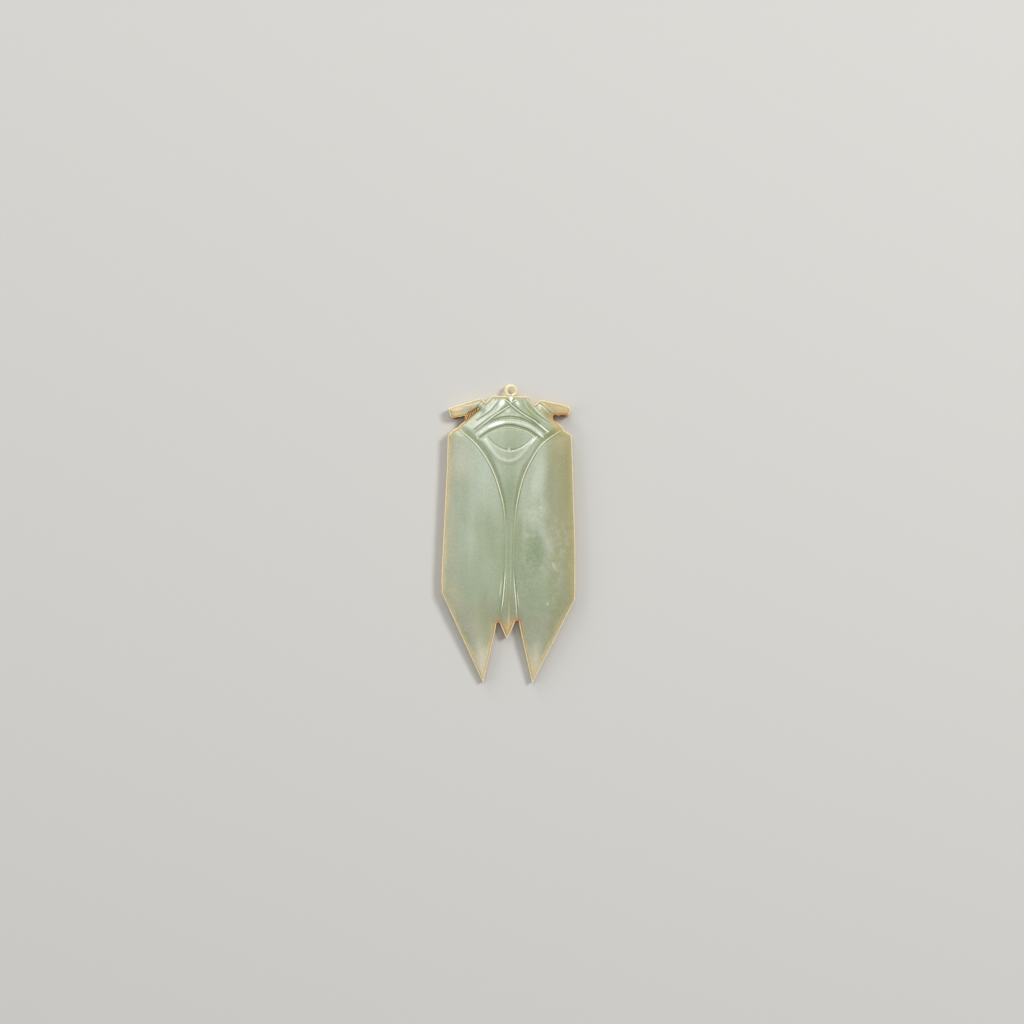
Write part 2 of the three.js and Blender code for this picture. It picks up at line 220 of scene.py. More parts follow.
MOUNT_CORNERS: tuple[tuple[float, float, Bend], ...] = (
    # Head and left eye
    (-0.266, 1.0, Bend.SOFT), (-0.368, 0.976, Bend.SHARP), (-0.439, 0.9915, Bend.SOFT),
    (-0.928, 0.954, Bend.SOFT), (-0.892, 0.9242, Bend.SOFT), (-0.826, 0.9177, Bend.SOFT),
    (-0.673, 0.9257, Bend.SHARP),
    # Left side
    (-0.692, 0.9118, Bend.SHARP), (-0.784, 0.8872, Bend.SHARP), (-0.835, 0.8819, Bend.SOFT),
    (-0.928, 0.8591, Bend.SOFT), (-0.936, 0.7523, Bend.SWEEPING), (-1.003, 0.373, Bend.SWEEPING),
    (-0.998, 0.3138, Bend.ROUND),
    # Tail
    (-0.365, -0.003, Bend.SHARP), (-0.153, 0.2214, Bend.SOFT), (-0.015, 0.1504, Bend.SOFT),
    (0.139, 0.2283, Bend.SOFT), (0.368, -0.003, Bend.SHARP),
    # Right side
    (0.999, 0.2962, Bend.ROUND), (0.996, 0.4642, Bend.SWEEPING), (0.943, 0.7772, Bend.SWEEPING),
    (0.925, 0.8634, Bend.SOFT), (0.878, 0.872, Bend.SOFT), (0.815, 0.8792, Bend.SHARP),
    (0.792, 0.8927, Bend.SOFT),
    # Right eye
    (0.662, 0.9195, Bend.SHARP), (0.656, 0.9307, Bend.SHARP), (0.883, 0.9308, Bend.SOFT),
    (0.925, 0.962, Bend.ROUND), (0.784, 0.9716, Bend.ROUND), (0.456, 0.988, Bend.SOFT),
    (0.368, 0.9697, Bend.SHARP), (0.283, 0.998, Bend.SOFT),
)
MOUTH_CORNER = 6  # the corner that the slot beside the left eye opens next to
# place of the painted highlight in the drilled pit under the lens
DRILLED_PIT = (-0.01, 0.8117)
CREVICES = (  # under the eyes and in the tail's notch
    (-0.79, 0.919), (-0.69, 0.915), (-0.153, 0.2214),
    (0.139, 0.2283), (0.66, 0.925), (0.79, 0.9308),
)


@dataclass(frozen=True)
class Steps:
    """Number of pieces that each corner's arc and the straight edge after it are drawn with."""

    arcs: Array
    edges: Array


@dataclass(frozen=True)
class Outline:
    """Closed outline of corners, counter-clockwise, with an arc at each corner."""

    points: Array
    radii: Array

    longest_share: float = 0.48
    least_reach: float = 0.02
    least_radius: float = 0.01

    @classmethod
    def of_mount(cls) -> Outline:
        """The outline of the gold mount."""
        table = np.array([(across, along, bend.value) for across, along, bend in MOUNT_CORNERS])
        return cls(BODY.places(table[:, :2]), table[:, 2])

    def inset(self, distance: float) -> Outline:
        """Move every edge inwards by an even distance and cross the edges again.

        Args:
            distance: How far the edges move in.

        Returns:
            The outline with the same corners, moved.
        """
        arriving = unit(self.points - np.roll(self.points, 1, axis=0))
        leaving = np.roll(arriving, -1, axis=0)
        opening = 1 + np.sum(arriving * leaving, axis=1, keepdims=True)
        moved = self.points + distance * (left_of(arriving) + left_of(leaving)) / opening
        smaller = np.maximum(self.radii - distance, self.least_radius)
        radii = np.where(cross(arriving, leaving) > 0, smaller, self.radii + distance)
        return Outline(moved, np.where(self.radii > 0, radii, 0))

    def with_corners(self, after: int, points: Array) -> Outline:
        """The outline with more corners, all sharp, set in after one of its corners."""
        spots = [after + 1] * len(points)
        corners = np.insert(self.points, spots, points, axis=0)
        return Outline(corners, np.insert(self.radii, spots, 0.0))

    def _arcs(self) -> tuple[Array, Array, Array, Array, Array]:
        """Start, centre, turn, reach and radius of the arc at each corner."""
        arriving = self.points - np.roll(self.points, 1, axis=0)
        leaving = np.roll(arriving, -1, axis=0)
        turn = np.arctan2(cross(arriving, leaving), np.sum(arriving * leaving, axis=1))
        slope = np.tan(np.abs(turn) / 2)
        lengths = np.linalg.norm(arriving, axis=1)
        room = self.longest_share * np.minimum(lengths, np.roll(lengths, -1))
        reach = np.minimum(self.radii * slope, room)
        fitted = reach / slope
        ahead = unit(arriving)
        start = self.points - ahead * reach[:, None]
        centre = start + left_of(ahead) * (np.sign(turn) * fitted)[:, None]
        return start, centre, turn, reach, fitted

    def steps(self, spacing: float, chord_error: float) -> Steps:
        """Choose how finely the outline is drawn.

        Args:
            spacing: Longest piece of a straight edge.
            chord_error: How far an arc's chord may lie from the arc.

        Returns:
            The number of pieces for each arc and each edge.
        """
        _, _, turn, reach, fitted = self._arcs()
        lengths = np.linalg.norm(np.roll(self.points, -1, axis=0) - self.points, axis=1)
        straight = lengths - reach - np.roll(reach, -1)
        step = 2 * np.arccos(1 - np.minimum(chord_error / np.maximum(fitted, 1e-6), 0.5))
        pieces = np.maximum(1, np.ceil(np.abs(turn) / step))
        pieces = np.maximum(pieces, np.ceil(np.abs(turn) * fitted / spacing))
        arcs = np.where(reach < self.least_reach, 0, pieces)
        return Steps(arcs.astype(int), np.maximum(1, np.ceil(straight / spacing)).astype(int))

    def loop(self, steps: Steps) -> Array:
        """Draw the outline: an arc's points turn about its centre, and edges are cut evenly.

        Args:
            steps: How finely it is drawn, the same for every inset of one outline.

        Returns:
            The points of the loop, one row each.
        """
        start, centre, turn, _, _ = self._arcs()
        first = np.where(steps.arcs[:, None] > 0, start, self.points)
        pieces = []
        for i, (arc, edge) in enumerate(zip(steps.arcs, steps.edges)):
            angle = turn[i] * np.linspace(0, 1, arc + 1)[:, None] if arc else np.zeros((1, 1))
            spoke = first[i] - centre[i]
            arc_points = centre[i] + (spoke * np.cos(angle) + left_of(spoke) * np.sin(angle))
            target = first[(i + 1) % len(first)]
            share = np.linspace(0, 1, edge + 1)[1:-1, None]
            pieces += [arc_points, arc_points[-1] + (target - arc_points[-1]) * share]
        return np.concatenate(pieces)


@dataclass(frozen=True)
class EyeSlot:
    """Narrow slot beside the left eye, which the gold wall folds into."""

    mouth: tuple[float, float] = (-0.682, 0.9187)
    aim: tuple[float, float] = (-0.463, 0.9554)
    mouth_width: float = 1.3
    end_width: float = 0.7
    length: float = 3.7

    def corners(self, outline: Outline, clearance: float) -> Array:
        """The slot's four corners, from its upper mouth round its end to its lower mouth.

        Args:
            outline: The outline that the slot opens in.
            clearance: How far each side moves towards the middle of the slot.

        Returns:
            Four points.
        """
        mouth, aim = BODY.places([self.mouth, self.aim])
        ahead = unit(aim - mouth)
        upward = left_of(ahead)
        end = mouth + ahead * (self.length - clearance)
        first, second = outline.points[MOUTH_CORNER], outline.points[MOUTH_CORNER + 1]

        def side(sign: int) -> tuple[Array, Array]:
            """Corners at the mouth and at the end, on one side."""
            inner = end + upward * sign * (self.end_width / 2 - clearance)
            outer = mouth + upward * sign * (self.mouth_width / 2 - clearance)
            run, edge = inner - outer, second - first
            return outer + run * (cross(first - outer, edge) / cross(run, edge)), inner

        (upper_mouth, upper_end), (lower_mouth, lower_end) = side(1), side(-1)
        return np.array([upper_mouth, upper_end, lower_end, lower_mouth])


# Curves that the carving follows


class Curve:
    """Smooth curve through chosen places, cut into short even pieces.

    Between two places it is the cubic whose slope at each place is half the step from the place
    before to the place after.
    """

    def __init__(self, shares: Shares | Array, spacing: float = 0.1) -> None:
        places = BODY.places(shares)
        before = np.concatenate([places[:1], places[:-2]])
        after = np.concatenate([places[2:], places[-1:]])
        start, end = places[:-1], places[1:]
        slope_in, slope_out = (end - before) / 2, (after - start) / 2
        t = np.linspace(0, 1, 40, endpoint=False)[:, None, None]
        cubic = (
            (2 * start - 2 * end + slope_in + slope_out) * t**3
            + (3 * end - 3 * start - 2 * slope_in - slope_out) * t**2
            + slope_in * t
            + start
        )
        dense = np.concatenate([cubic.transpose(1, 0, 2).reshape(-1, 2), places[-1:]])
        gone = np.concatenate([[0], np.cumsum(np.linalg.norm(np.diff(dense, axis=0), axis=1))])
        even = np.linspace(0, gone[-1], max(8, round(float(gone[-1]) / spacing)) + 1)
        self.points = np.stack([np.interp(even, gone, dense[:, axis]) for axis in (0, 1)], axis=1)
        self.ahead = unit(np.gradient(self.points, axis=0))

    @classmethod
    def arch(cls, middle: float, along: float, half_span: float, rise: float) -> Curve:
        """Curve from left to right whose middle stands above its ends by a rise."""
        share = np.linspace(-1, 1, 9)
        return cls(np.stack([middle + share * half_span, along - rise * share**2], axis=1))

    def beside(self, offset: float, margin: float = 0.01) -> Array:
        """Points along the curve at one distance to its left, less a margin at both ends."""
        rows = self.points + left_of(self.ahead) * offset
        share = np.linspace(0, 1, len(rows))
        return rows[(share >= margin) & (share <= 1 - margin)]

    def offsets(self, points: Array, reach: float) -> tuple[Array, Array]:
        """Signed distance to the curve and the share of its length that is nearest.

        Args:
            points: Points on the plane.
            reach: Points further off than this are given that distance.

        Returns:
            Distances, positive on the left, and shares of the length.
        """
        distance, share = np.full(len(points), reach), np.zeros(len(points))
        low, high = self.points.min(0) - reach, self.points.max(0) + reach
        near = np.flatnonzero(((points > low) & (points < high)).all(axis=1))
        if not len(near):
            return distance, share
        ends = np.diff(self.points, axis=0)
        squared = np.sum(ends**2, axis=1)

        def measure(some: Array) -> Array:
            """Signed distance and share of some of the points."""
            away = some[:, None] - self.points[:-1]
            along = np.clip(np.sum(away * ends, axis=2) / squared, 0, 1)
            gap = np.linalg.norm(away - along[..., None] * ends, axis=2)
            best, rows = gap.argmin(axis=1), np.arange(len(some))
            side = np.where(cross(ends[best], away[rows, best]) < 0, -1.0, 1.0)
            place = (best + along[rows, best]) / len(ends)
            return np.stack([gap[rows, best] * side, place], axis=1)

        distance[near], share[near] = in_parts(measure, points[near]).T
        return np.clip(distance, -reach, reach), share


# Cuts: each gives the depth below the surface, from the distance to its curve


def vee(off: Array, half: float, depth: float, keen: float = 1.3) -> Array:
    """Sharp-bottomed groove with soft shoulders: depth times (1 - off / half) to a power."""
    return depth * np.clip(1 - np.abs(off) / half, 0, 1) ** keen


def uncut(off: Array, share: Array) -> Array:
    """No cut at all: the line is only a painted highlight."""
    return 0 * off


def double_line(off: Array, share: Array) -> Array:
    """Two fine grooves with a ridge between them."""
    return vee(np.abs(off) - 0.27, 0.21, 0.27)


def band(off: Array, share: Array) -> Array:
    """Flat-bottomed dark band, then a thin ridge and a hair line on the inner side."""
    flat = 0.32 * smooth((0.34 - np.abs(off)) / 0.18)
    return np.maximum(flat, vee(off + 0.6, 0.13, 0.1))


def lens_line(off: Array, share: Array) -> Array:
    """Border under the lens, wider in the middle where it ends in a small drilled pit."""
    middle = bell(share - 0.5, 0.07)
    return (0.14 + 0.04 * middle) * smooth((0.17 + 0.16 * middle - np.abs(off)) / 0.15)


@dataclass(frozen=True)
class Profile:
    """Section across a carved line, and where the painted highlight on the crest beside it lies."""

    depth: Callable[[Array, Array], Array]
    rows: tuple[float, ...]
    pale_at: float = 0.0
    pale_half: float = 0.12


class Cut(Enum):
    """Kinds of carved line."""

    FINE = Profile(lambda off, share: vee(off, 0.24, 0.15), (-0.24, -0.1, 0, 0.1, 0.24), -0.2)
    HAIR = Profile(lambda off, share: vee(off, 0.13, 0.06), (-0.13, 0, 0.13), -0.14, 0.1)
    DOUBLE = Profile(
        double_line, (-0.48, -0.37, -0.27, -0.17, -0.08, 0, 0.08, 0.17, 0.27, 0.37, 0.48), 0.0, 0.1
    )
    BAND = Profile(
        band, (-0.72, -0.6, -0.5, -0.43, -0.34, -0.18, 0, 0.18, 0.34, 0.5, 0.9), -0.44, 0.1
    )
    LENS = Profile(lens_line, (-0.42, -0.3, -0.2, -0.06, 0.06, 0.2, 0.3), -0.28)
    RIDGE = Profile(uncut, (-0.2, -0.1, 0, 0.1, 0.2), 0.0, 0.13)
    LIP = Profile(uncut, (-0.9, -0.5, -0.3, -0.15, 0, 0.15, 0.3), 0.0, 0.3)


@dataclass(frozen=True)
class Marks:
    """What carving does at each point: depth below the surface, painted shade and painted highlight.
    """

    depth: Array
    dark: Array
    pale: Array

    @classmethod
    def together(cls, several: Sequence[Marks]) -> Marks:
        """The deepest, darkest and palest of several."""
        parts = zip(*((marks.depth, marks.dark, marks.pale) for marks in several))
        return cls(*(np.maximum.reduce(part) for part in parts))


@dataclass(frozen=True)
class CarvedLine:
    """One carved line that fades towards its ends."""

    curve: Curve
    cut: Cut
    run_out: float
    strength: float
    pale: tuple[float, float, float]  # painted highlight at its start, middle and end
    under: Curve | None = None  # a line that passes over this one
    darkness: float = 2.5  # painted shade of the cut, for each millimetre of its depth

    def marks(self, points: Array) -> Marks:
        """What the line does at each point."""
        profile = self.cut.value
        reach = max(abs(profile.rows[0]), abs(profile.rows[-1])) + 0.6
        off, share = self.curve.offsets(points, reach)
        fade = ease_in(to_end(share) / self.run_out)
        if self.under is not None:
            over, _ = self.under.offsets(points, 1.0)
            fade *= smooth((np.abs(over) - 0.36) / 0.16)
        depth = self.strength * fade * profile.depth(off, share)
        pale = np.interp(share, (0, 0.5, 1), self.pale)
        paleness = pale * fade * bell(off - profile.pale_at, profile.pale_half)
        return Marks(depth, depth * self.darkness, paleness)

    def rows(self) -> Array:
        """Points along the line where its profile turns."""
        return np.concatenate([self.curve.beside(offset) for offset in self.cut.value.rows])


@dataclass(frozen=True)
class WingEdge:
    """Inner edge of a wing: a hair groove, a painted highlight on the wing's arris, then a step down
    and a slope up.

    The slope up to the chest is wide, and the one up to the abdomen is narrow.
    """

    curve: Curve
    wing_on_left: bool
    bright_from: float = 0.25  # the edge's painted highlight streak above the tail, as shares of the length
    bright_to: float = 0.35
    depth_at_edge: float = 0.5
    groove_at: float = -0.19
    arris_highlight_at: float = 0.05
    step_width: float = 0.2
    beside_chest: float = 1.6
    beside_abdomen: float = 0.5
    narrows_from: float = 0.12
    narrows_to: float = 0.62
    run_out: float = 0.09
    lost_at_waist: float = 0.62

    def wear_and_sheen(self, along: Array) -> Array:
        """How strong the edge's painted highlight is along the body: most above the tail and at the
        chest.
        """
        places = (0, self.bright_from - 0.04, self.bright_from, self.bright_to)
        places = (*places, self.bright_to + 0.04, 0.57, 0.64)
        return np.interp(along, places, (0, 0, 1.6, 1.3, 0.2, 0.3, 1))

    def marks(self, points: Array) -> Marks:
        """What the edge does at each point: the wing's arris gets a painted highlight, and the
        groove and the slope beside it get painted shade.
        """
        off, share = self.curve.offsets(points, 3.0)
        off = -off if self.wing_on_left else off
        narrowing = smooth((share - self.narrows_from) / (self.narrows_to - self.narrows_from))
        slope = self.beside_chest + (self.beside_abdomen - self.beside_chest) * narrowing
        rising = smooth((off - 0.1) / self.step_width)
        step = np.clip(1 - off / slope, 0, 1) ** 1.15 * rising
        shaded = rising * smooth((0.82 * slope - off) / (0.2 * slope))
        along = points[:, 1] / BODY.length
        waist = smooth((0.62 - along) / 0.08) * smooth((along - 0.36) / 0.07)
        fade = ease_in(to_end(share) / self.run_out) * (1 - self.lost_at_waist * waist)
        deep = self.depth_at_edge * (1 - 0.35 * narrowing)
        depth = fade * (deep * step + vee(off - self.groove_at, 0.14, 0.12))
        worn = self.wear_and_sheen(along)
        # painted shade in the hair groove and on the slope beside the edge; painted highlight on the
        # wing's arris
        hair = 1.2 * bell(off - self.groove_at, 0.08) * np.minimum(worn + 0.1, 1)
        arris_highlight = 1.2 * bell(off - self.arris_highlight_at, 0.075) * worn
        shaded = shaded * (0.35 + 0.65 * smooth((along - 0.5) / 0.14))
        return Marks(depth, fade * (hair + 0.75 * shaded), fade * arris_highlight)

    def rows(self) -> Array:
        """Points along the edge where its profile turns."""
        sign = -1 if self.wing_on_left else 1
        turns = (-0.33, -0.26, -0.19, -0.12, -0.05, 0.0, 0.05, 0.1, 0.16, 0.25, 0.4, 0.65)
        return np.concatenate([self.curve.beside(sign * offset) for offset in turns])


# Stone


@dataclass(frozen=True)
class Relief:
    """Heights of the stone's rim and dome above its seat."""

    rim_at_tips: float = 1.5
    rim_at_sides: float = 2.6
    rim_fall_at_head: float = 0.4
    dome_at_tips: float = 1.1
    dome_at_wings: float = 2.6
    dome_fall_at_head: float = 0.5
    chest: float = 0.29
    dome_reach: float = 8.5
    dome_fullness: float = 2.2
    valley_depth: float = 0.55
    valley_half_width: float = 2.3
    arris: float = 0.4
    arris_drop: float = 0.17
    eye_flattening: float = 0.5

    def head_fall(self, along: Array) -> Array:
        """Share of the fall towards the head's edge."""
        return np.maximum((along - 0.82) / 0.18, 0) ** 2

    def rim(self, y: Array) -> Array:
        """Height of the rim at a place along the body."""
        along = y / BODY.length
        sides = (self.rim_at_sides - self.rim_at_tips) * ease_in(along / 0.45)
        return self.rim_at_tips + sides - self.rim_fall_at_head * self.head_fall(along)

    def dome(self, points: Array, soft: Array) -> Array:
        """Height of the uncarved stone.

        Args:
            points: Places on the body.
            soft: Their soft distance in from the outline.

        Returns:
            Rim, dome and the valley between the wings, added up.
        """
        along = points[:, 1] / BODY.length
        wings = (self.dome_at_wings - self.dome_at_tips) * ease_in(along / 0.6)
        rise = self.dome_at_tips + wings + self.chest * hump(along, 0.8, 0.3)
        rise = rise - self.dome_fall_at_head * self.head_fall(along)
        across = np.abs(points[:, 0]) / (BODY.width / 2)
        eyes = smooth((across - 0.52) / 0.2) * smooth((along - 0.905) / 0.03)
        rise = rise * (1 - self.eye_flattening * eyes)
        inwards = 1 - (1 - np.minimum(soft / self.dome_reach, 1)) ** self.dome_fullness
        between = bell(points[:, 0], self.valley_half_width)
        valley = self.valley_depth * between * hump(along, 0.42, 0.34)
        return self.rim(points[:, 1]) + rise * inwards - valley

    def rounding(self, distance: Array) -> Array:
        """How far the rounded arris drops: with the square of the nearness to the edge."""
        return self.arris_drop * np.clip(1 - distance / self.arris, 0, 1) ** 2


@dataclass
class Carving:
    """All the carved lines of the cicada, and the raised plates between them."""

    crest_height: float = 0.2
    crest_slope: float = 1.1
    arch_height: float = 0.1
    arch_off: float = 0.66
    arch_half_width: float = 0.6
    belly_height: float = 0.16
    belly_half_width: float = 0.35
    facet_height: float = 0.2
    facet_half_width: float = 0.42
    facet_from: float = 58.3
    collar_height: float = 0.08
    collar_half_width: float = 0.22
    ends_within: float = 0.06

    def __post_init__(self) -> None:
        collar_falling = Curve(
            [(-0.1, 0.989), (-0.024, 0.977), (0.036, 0.963), (0.127, 0.946), (0.232, 0.9287),
             (0.36, 0.9116), (0.466, 0.891), (0.568, 0.8737)]
        )
        collar_rising = Curve(
            [(0.11, 0.988), (0.036, 0.977), (-0.018, 0.963), (-0.125, 0.9453), (-0.239, 0.9277),
             (-0.336, 0.91), (-0.447, 0.889), (-0.534, 0.8714)]
        )
        outer_left = Curve(
            [(-0.16, 0.985), (-0.174, 0.9765), (-0.229, 0.9625), (-0.292, 0.945),
             (-0.3965, 0.9274), (-0.516, 0.9097)]
        )
        plate_left = Curve(
            [(-0.114, 0.977), (-0.143, 0.963), (-0.195, 0.945), (-0.307, 0.9276), (-0.418, 0.91),
             (-0.545, 0.889)]
        )
        self.ridges = [
            Curve([(-0.19, 0.988), (-0.219, 0.9764), (-0.337, 0.9449), (-0.4265, 0.9273)]),
            Curve([(0.25, 0.992), (0.33, 0.967), (0.45, 0.937), (0.58, 0.91)]),
        ]
        self.lower_arch = Curve(
            [(-0.47, 0.8465), (-0.38, 0.8625), (-0.29, 0.8755), (-0.14, 0.8895), (0.0, 0.894),
             (0.13, 0.8885), (0.28, 0.877), (0.37, 0.8627), (0.47, 0.845)]
        )
        self.lens_low = Curve.arch(0.005, 0.809, 0.35, -0.05)
        self.lip_low = Curve(
            [(-0.379, 0.8526), (-0.284, 0.8198), (-0.181, 0.787), (-0.103, 0.7765),
             (-0.005, 0.772), (0.074, 0.777), (0.148, 0.7877), (0.219, 0.807), (0.299, 0.8294),
             (0.412, 0.8595)]
        )
        left_wing = Curve(
            [(-0.76, 0.88), (-0.648, 0.859), (-0.49, 0.8245), (-0.346, 0.7796), (-0.231, 0.7277),
             (-0.14, 0.666), (-0.078, 0.6), (-0.05, 0.5), (-0.053, 0.389), (-0.09, 0.28),
             (-0.145, 0.212)]
        )
        right_wing = Curve(
            [(0.79, 0.882), (0.69, 0.868), (0.491, 0.8319), (0.35, 0.7863), (0.231, 0.73),
             (0.155, 0.67), (0.102, 0.5966), (0.073, 0.5), (0.078, 0.389), (0.115, 0.29),
             (0.139, 0.216)]
        )
        self.wing_edges = [
            WingEdge(left_wing, False, bright_from=0.285, bright_to=0.37),
            WingEdge(right_wing, True),
        ]
        # Each row: curve, cut, run-out, strength, painted highlight at its start, middle and end,
        # and a line that passes over it. A cut's depth also paints shade in it; RIDGE and LIP rows
        # are painted highlights only.
        table = (
            # collar
            (collar_falling, Cut.DOUBLE, 0.06, 1.0, (0.8, 0.8, 1.3)),
            (collar_rising, Cut.DOUBLE, 0.06, 1.0, (0.9, 0.8, 1.0), collar_falling),
            (outer_left, Cut.FINE, 0.12, 1.8, (0.6, 0.7, 0.5)),
            (Curve([(0.215, 0.984), (0.29, 0.957), (0.42, 0.93), (0.585, 0.905)]),
             Cut.FINE, 0.12, 1.2, (0.6, 0.5, 0.5)),
            # ridges beside the collar
            (self.ridges[0], Cut.RIDGE, 0.1, 1.0, (1.0, 0.8, 0.6)),
            (self.ridges[1], Cut.RIDGE, 0.1, 1.0, (0.7, 0.6, 0.4)),
            # arches
            (Curve.arch(0.003, 0.9085, 0.5, 0.051), Cut.LIP, 0.08, 1.0, (0.8, 0.65, 0.6)),
            (Curve([(-0.37, 0.8815), (-0.25, 0.8955), (-0.13, 0.904), (-0.02, 0.9085)]),
             Cut.LIP, 0.4, 1.0, (1.2, 2.6, 0.8)),
            (Curve.arch(0, 0.9225, 0.54, 0.057), Cut.BAND, 0.05, 1.0, (0.5, 0.5, 0.4)),
            (self.lower_arch, Cut.BAND, 0.05, 1.0, (0.6, 0.6, 0.7)),
            # lens and lip
            (self.lens_low, Cut.LENS, 0.08, 1.0, (0.2, 0.7, 0.5)),
            (self.lip_low, Cut.LIP, 0.05, 1.0, (0.6, 0.55, 0.3)),
            # painted highlights beside the lens
            (Curve([(-0.404, 0.8494), (-0.314, 0.8243), (-0.249, 0.802), (-0.199, 0.785)]),
             Cut.LIP, 0.15, 1.0, (0.75, 0.7, 0.3)),
            (Curve([(0.429, 0.8428), (0.356, 0.8184), (0.277, 0.786), (0.198, 0.7576)]),
             Cut.LIP, 0.15, 1.0, (0.45, 0.4, 0.2)),
            (Curve([(0.28, 0.824), (0.356, 0.8428), (0.412, 0.8595)]),
             Cut.RIDGE, 0.2, 1.0, (0.8, 1.5, 1.2)),
            # ends of the arches
            (Curve([(0.371, 0.8786), (0.435, 0.8671), (0.509, 0.8522)]),
             Cut.RIDGE, 0.2, 1.0, (0.4, 1.5, 1.4)),
            (Curve([(-0.494, 0.8628), (-0.4805, 0.8541), (-0.474, 0.8444)]),
             Cut.RIDGE, 0.2, 1.0, (0.9, 0.9, 0.9)),
            # right eye
            (Curve([(0.42, 0.977), (0.51, 0.963), (0.57, 0.95), (0.63, 0.939)]),
             Cut.HAIR, 0.1, 2.0, (0.0, 0.0, 0.0)),
            (Curve([(0.45, 0.982), (0.533, 0.965), (0.598, 0.951), (0.663, 0.943)]),
             Cut.RIDGE, 0.15, 1.0, (0.7, 0.5, 0.3)),
            (Curve([(0.395, 0.973), (0.482, 0.962), (0.534, 0.95), (0.594, 0.936)]),
             Cut.RIDGE, 0.15, 1.0, (0.5, 0.8, 0.3)),
            # plate and end of the collar
            (plate_left, Cut.LIP, 0.1, 1.0, (0.8, 0.6, 0.3)),
            (Curve([(0.43, 0.903), (0.511, 0.8848), (0.583, 0.871)]),
             Cut.RIDGE, 0.15, 1.0, (0.8, 1.8, 1.4)),
            # left eye
            (Curve([(-0.395, 0.973), (-0.435, 0.963), (-0.475, 0.953)]),
             Cut.FINE, 0.1, 1.0, (0.9, 0.9, 0.9)),
            (Curve([(-0.43, 0.981), (-0.481, 0.9695), (-0.56, 0.953)]),
             Cut.HAIR, 0.1, 1.0, (0.8, 0.7, 0.6)),
            # beside the tail, the belly and the waist
            (Curve([(-0.09, 0.368), (-0.105, 0.335), (-0.12, 0.3)]),
             Cut.HAIR, 0.35, 1.0, (0.6, 0.9, 0.6)),
            (Curve([(0.137, 0.327), (0.152, 0.298), (0.17, 0.262)]),
             Cut.HAIR, 0.35, 1.0, (0.6, 0.9, 0.6)),
            (Curve([(0.0123, 0.3), (0.0118, 0.25), (0.0113, 0.19)]),
             Cut.RIDGE, 0.4, 1.0, (0.2, 0.5, 0.6)),
            (Curve([(-0.02, 0.56), (-0.02, 0.3)]), Cut.HAIR, 0.3, 0.5, (0.3, 0.2, 0.4)),
            (Curve([(0.045, 0.56), (0.04, 0.3)]), Cut.HAIR, 0.3, 0.5, (0.3, 0.2, 0.4)),
        )
        self.lines = [CarvedLine(*row) for row in table]

    def marks(self, points: Array) -> Marks:
        """What all the carving does at each point."""
        return Marks.together([line.marks(points) for line in [*self.lines, *self.wing_edges]])

    def facet(self, points: Array) -> Array:
        """Small pointed facet under the ring: a wedge that widens towards the head's edge."""
        width = self.facet_half_width * np.clip(points[:, 1] - self.facet_from, 0.01, 1)
        flank = 1.6 * (1 - np.abs(points[:, 0] - 0.2) / width)
        return np.clip(flank, 0, 1) * smooth((points[:, 1] - self.facet_from) / 0.4)

    def raised(self, points: Array) -> Array:
        """Height added to the dome: crescent, arch, side of the collar, belly and facet."""
        from_lens, _ = self.lens_low.offsets(points, 4.0)
        from_lip, on_lip = self.lip_low.offsets(points, 4.0)
        under_lens, above_lip = np.clip(-from_lens, 0, None), np.clip(from_lip, 0, None)
        across = under_lens / np.maximum(under_lens + above_lip, 1e-6)
        below = smooth(1 - np.clip(-from_lip, 0, None) / self.crest_slope)
        crest = self.crest_height * np.where(from_lip > 0, smooth(across), below)
        crest = crest * (smooth(to_end(on_lip) / self.ends_within) * (np.abs(from_lip) < 3.9))
        from_arch, on_arch = self.lower_arch.offsets(points, 2.0)
        arch = self.arch_height * hump(from_arch, self.arch_off, self.arch_half_width)
        arch = arch * smooth(to_end(on_arch) / self.ends_within)
        along = points[:, 1] / BODY.length
        belly = np.clip(1 - np.abs(points[:, 0] / self.belly_half_width), 0, 1) ** 1.5
        belly = self.belly_height * belly * smooth((along - 0.16) / 0.06)
        belly = belly * smooth((0.42 - along) / 0.14)
        facet = self.facet_height * self.facet(points)
        offs = (ridge.offsets(points, 1.0)[0] for ridge in self.ridges)
        collar = sum(vee(off, self.collar_half_width, self.collar_height) for off in offs)
        return crest * (under_lens > 0) + arch + belly + facet + collar

    def rows(self) -> Array:
        """Points along every line and edge where its profile turns."""
        return np.concatenate([line.rows() for line in [*self.lines, *self.wing_edges]])


@dataclass
class Placement:
    """Puts millimetres on the body into the row frame in metres, by the box of the back plate."""

    own_low: Array
    own_high: Array

    def __post_init__(self) -> None:
        low, high = (np.array(corner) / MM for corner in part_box("back_plate"))
        self.scale = (high - low)[:2] / (self.own_high - self.own_low)
        self.shift = low[:2] - self.own_low * self.scale
        self.seat, self.floor = high[2], low[2]

    def frame(self, points: Array, heights: Array | float) -> Array:
        """Join places on the body and heights above the seat into points in the frame."""
        level = np.broadcast_to(self.seat + heights, len(points))
        return np.column_stack([points * self.scale + self.shift, level]) * MM


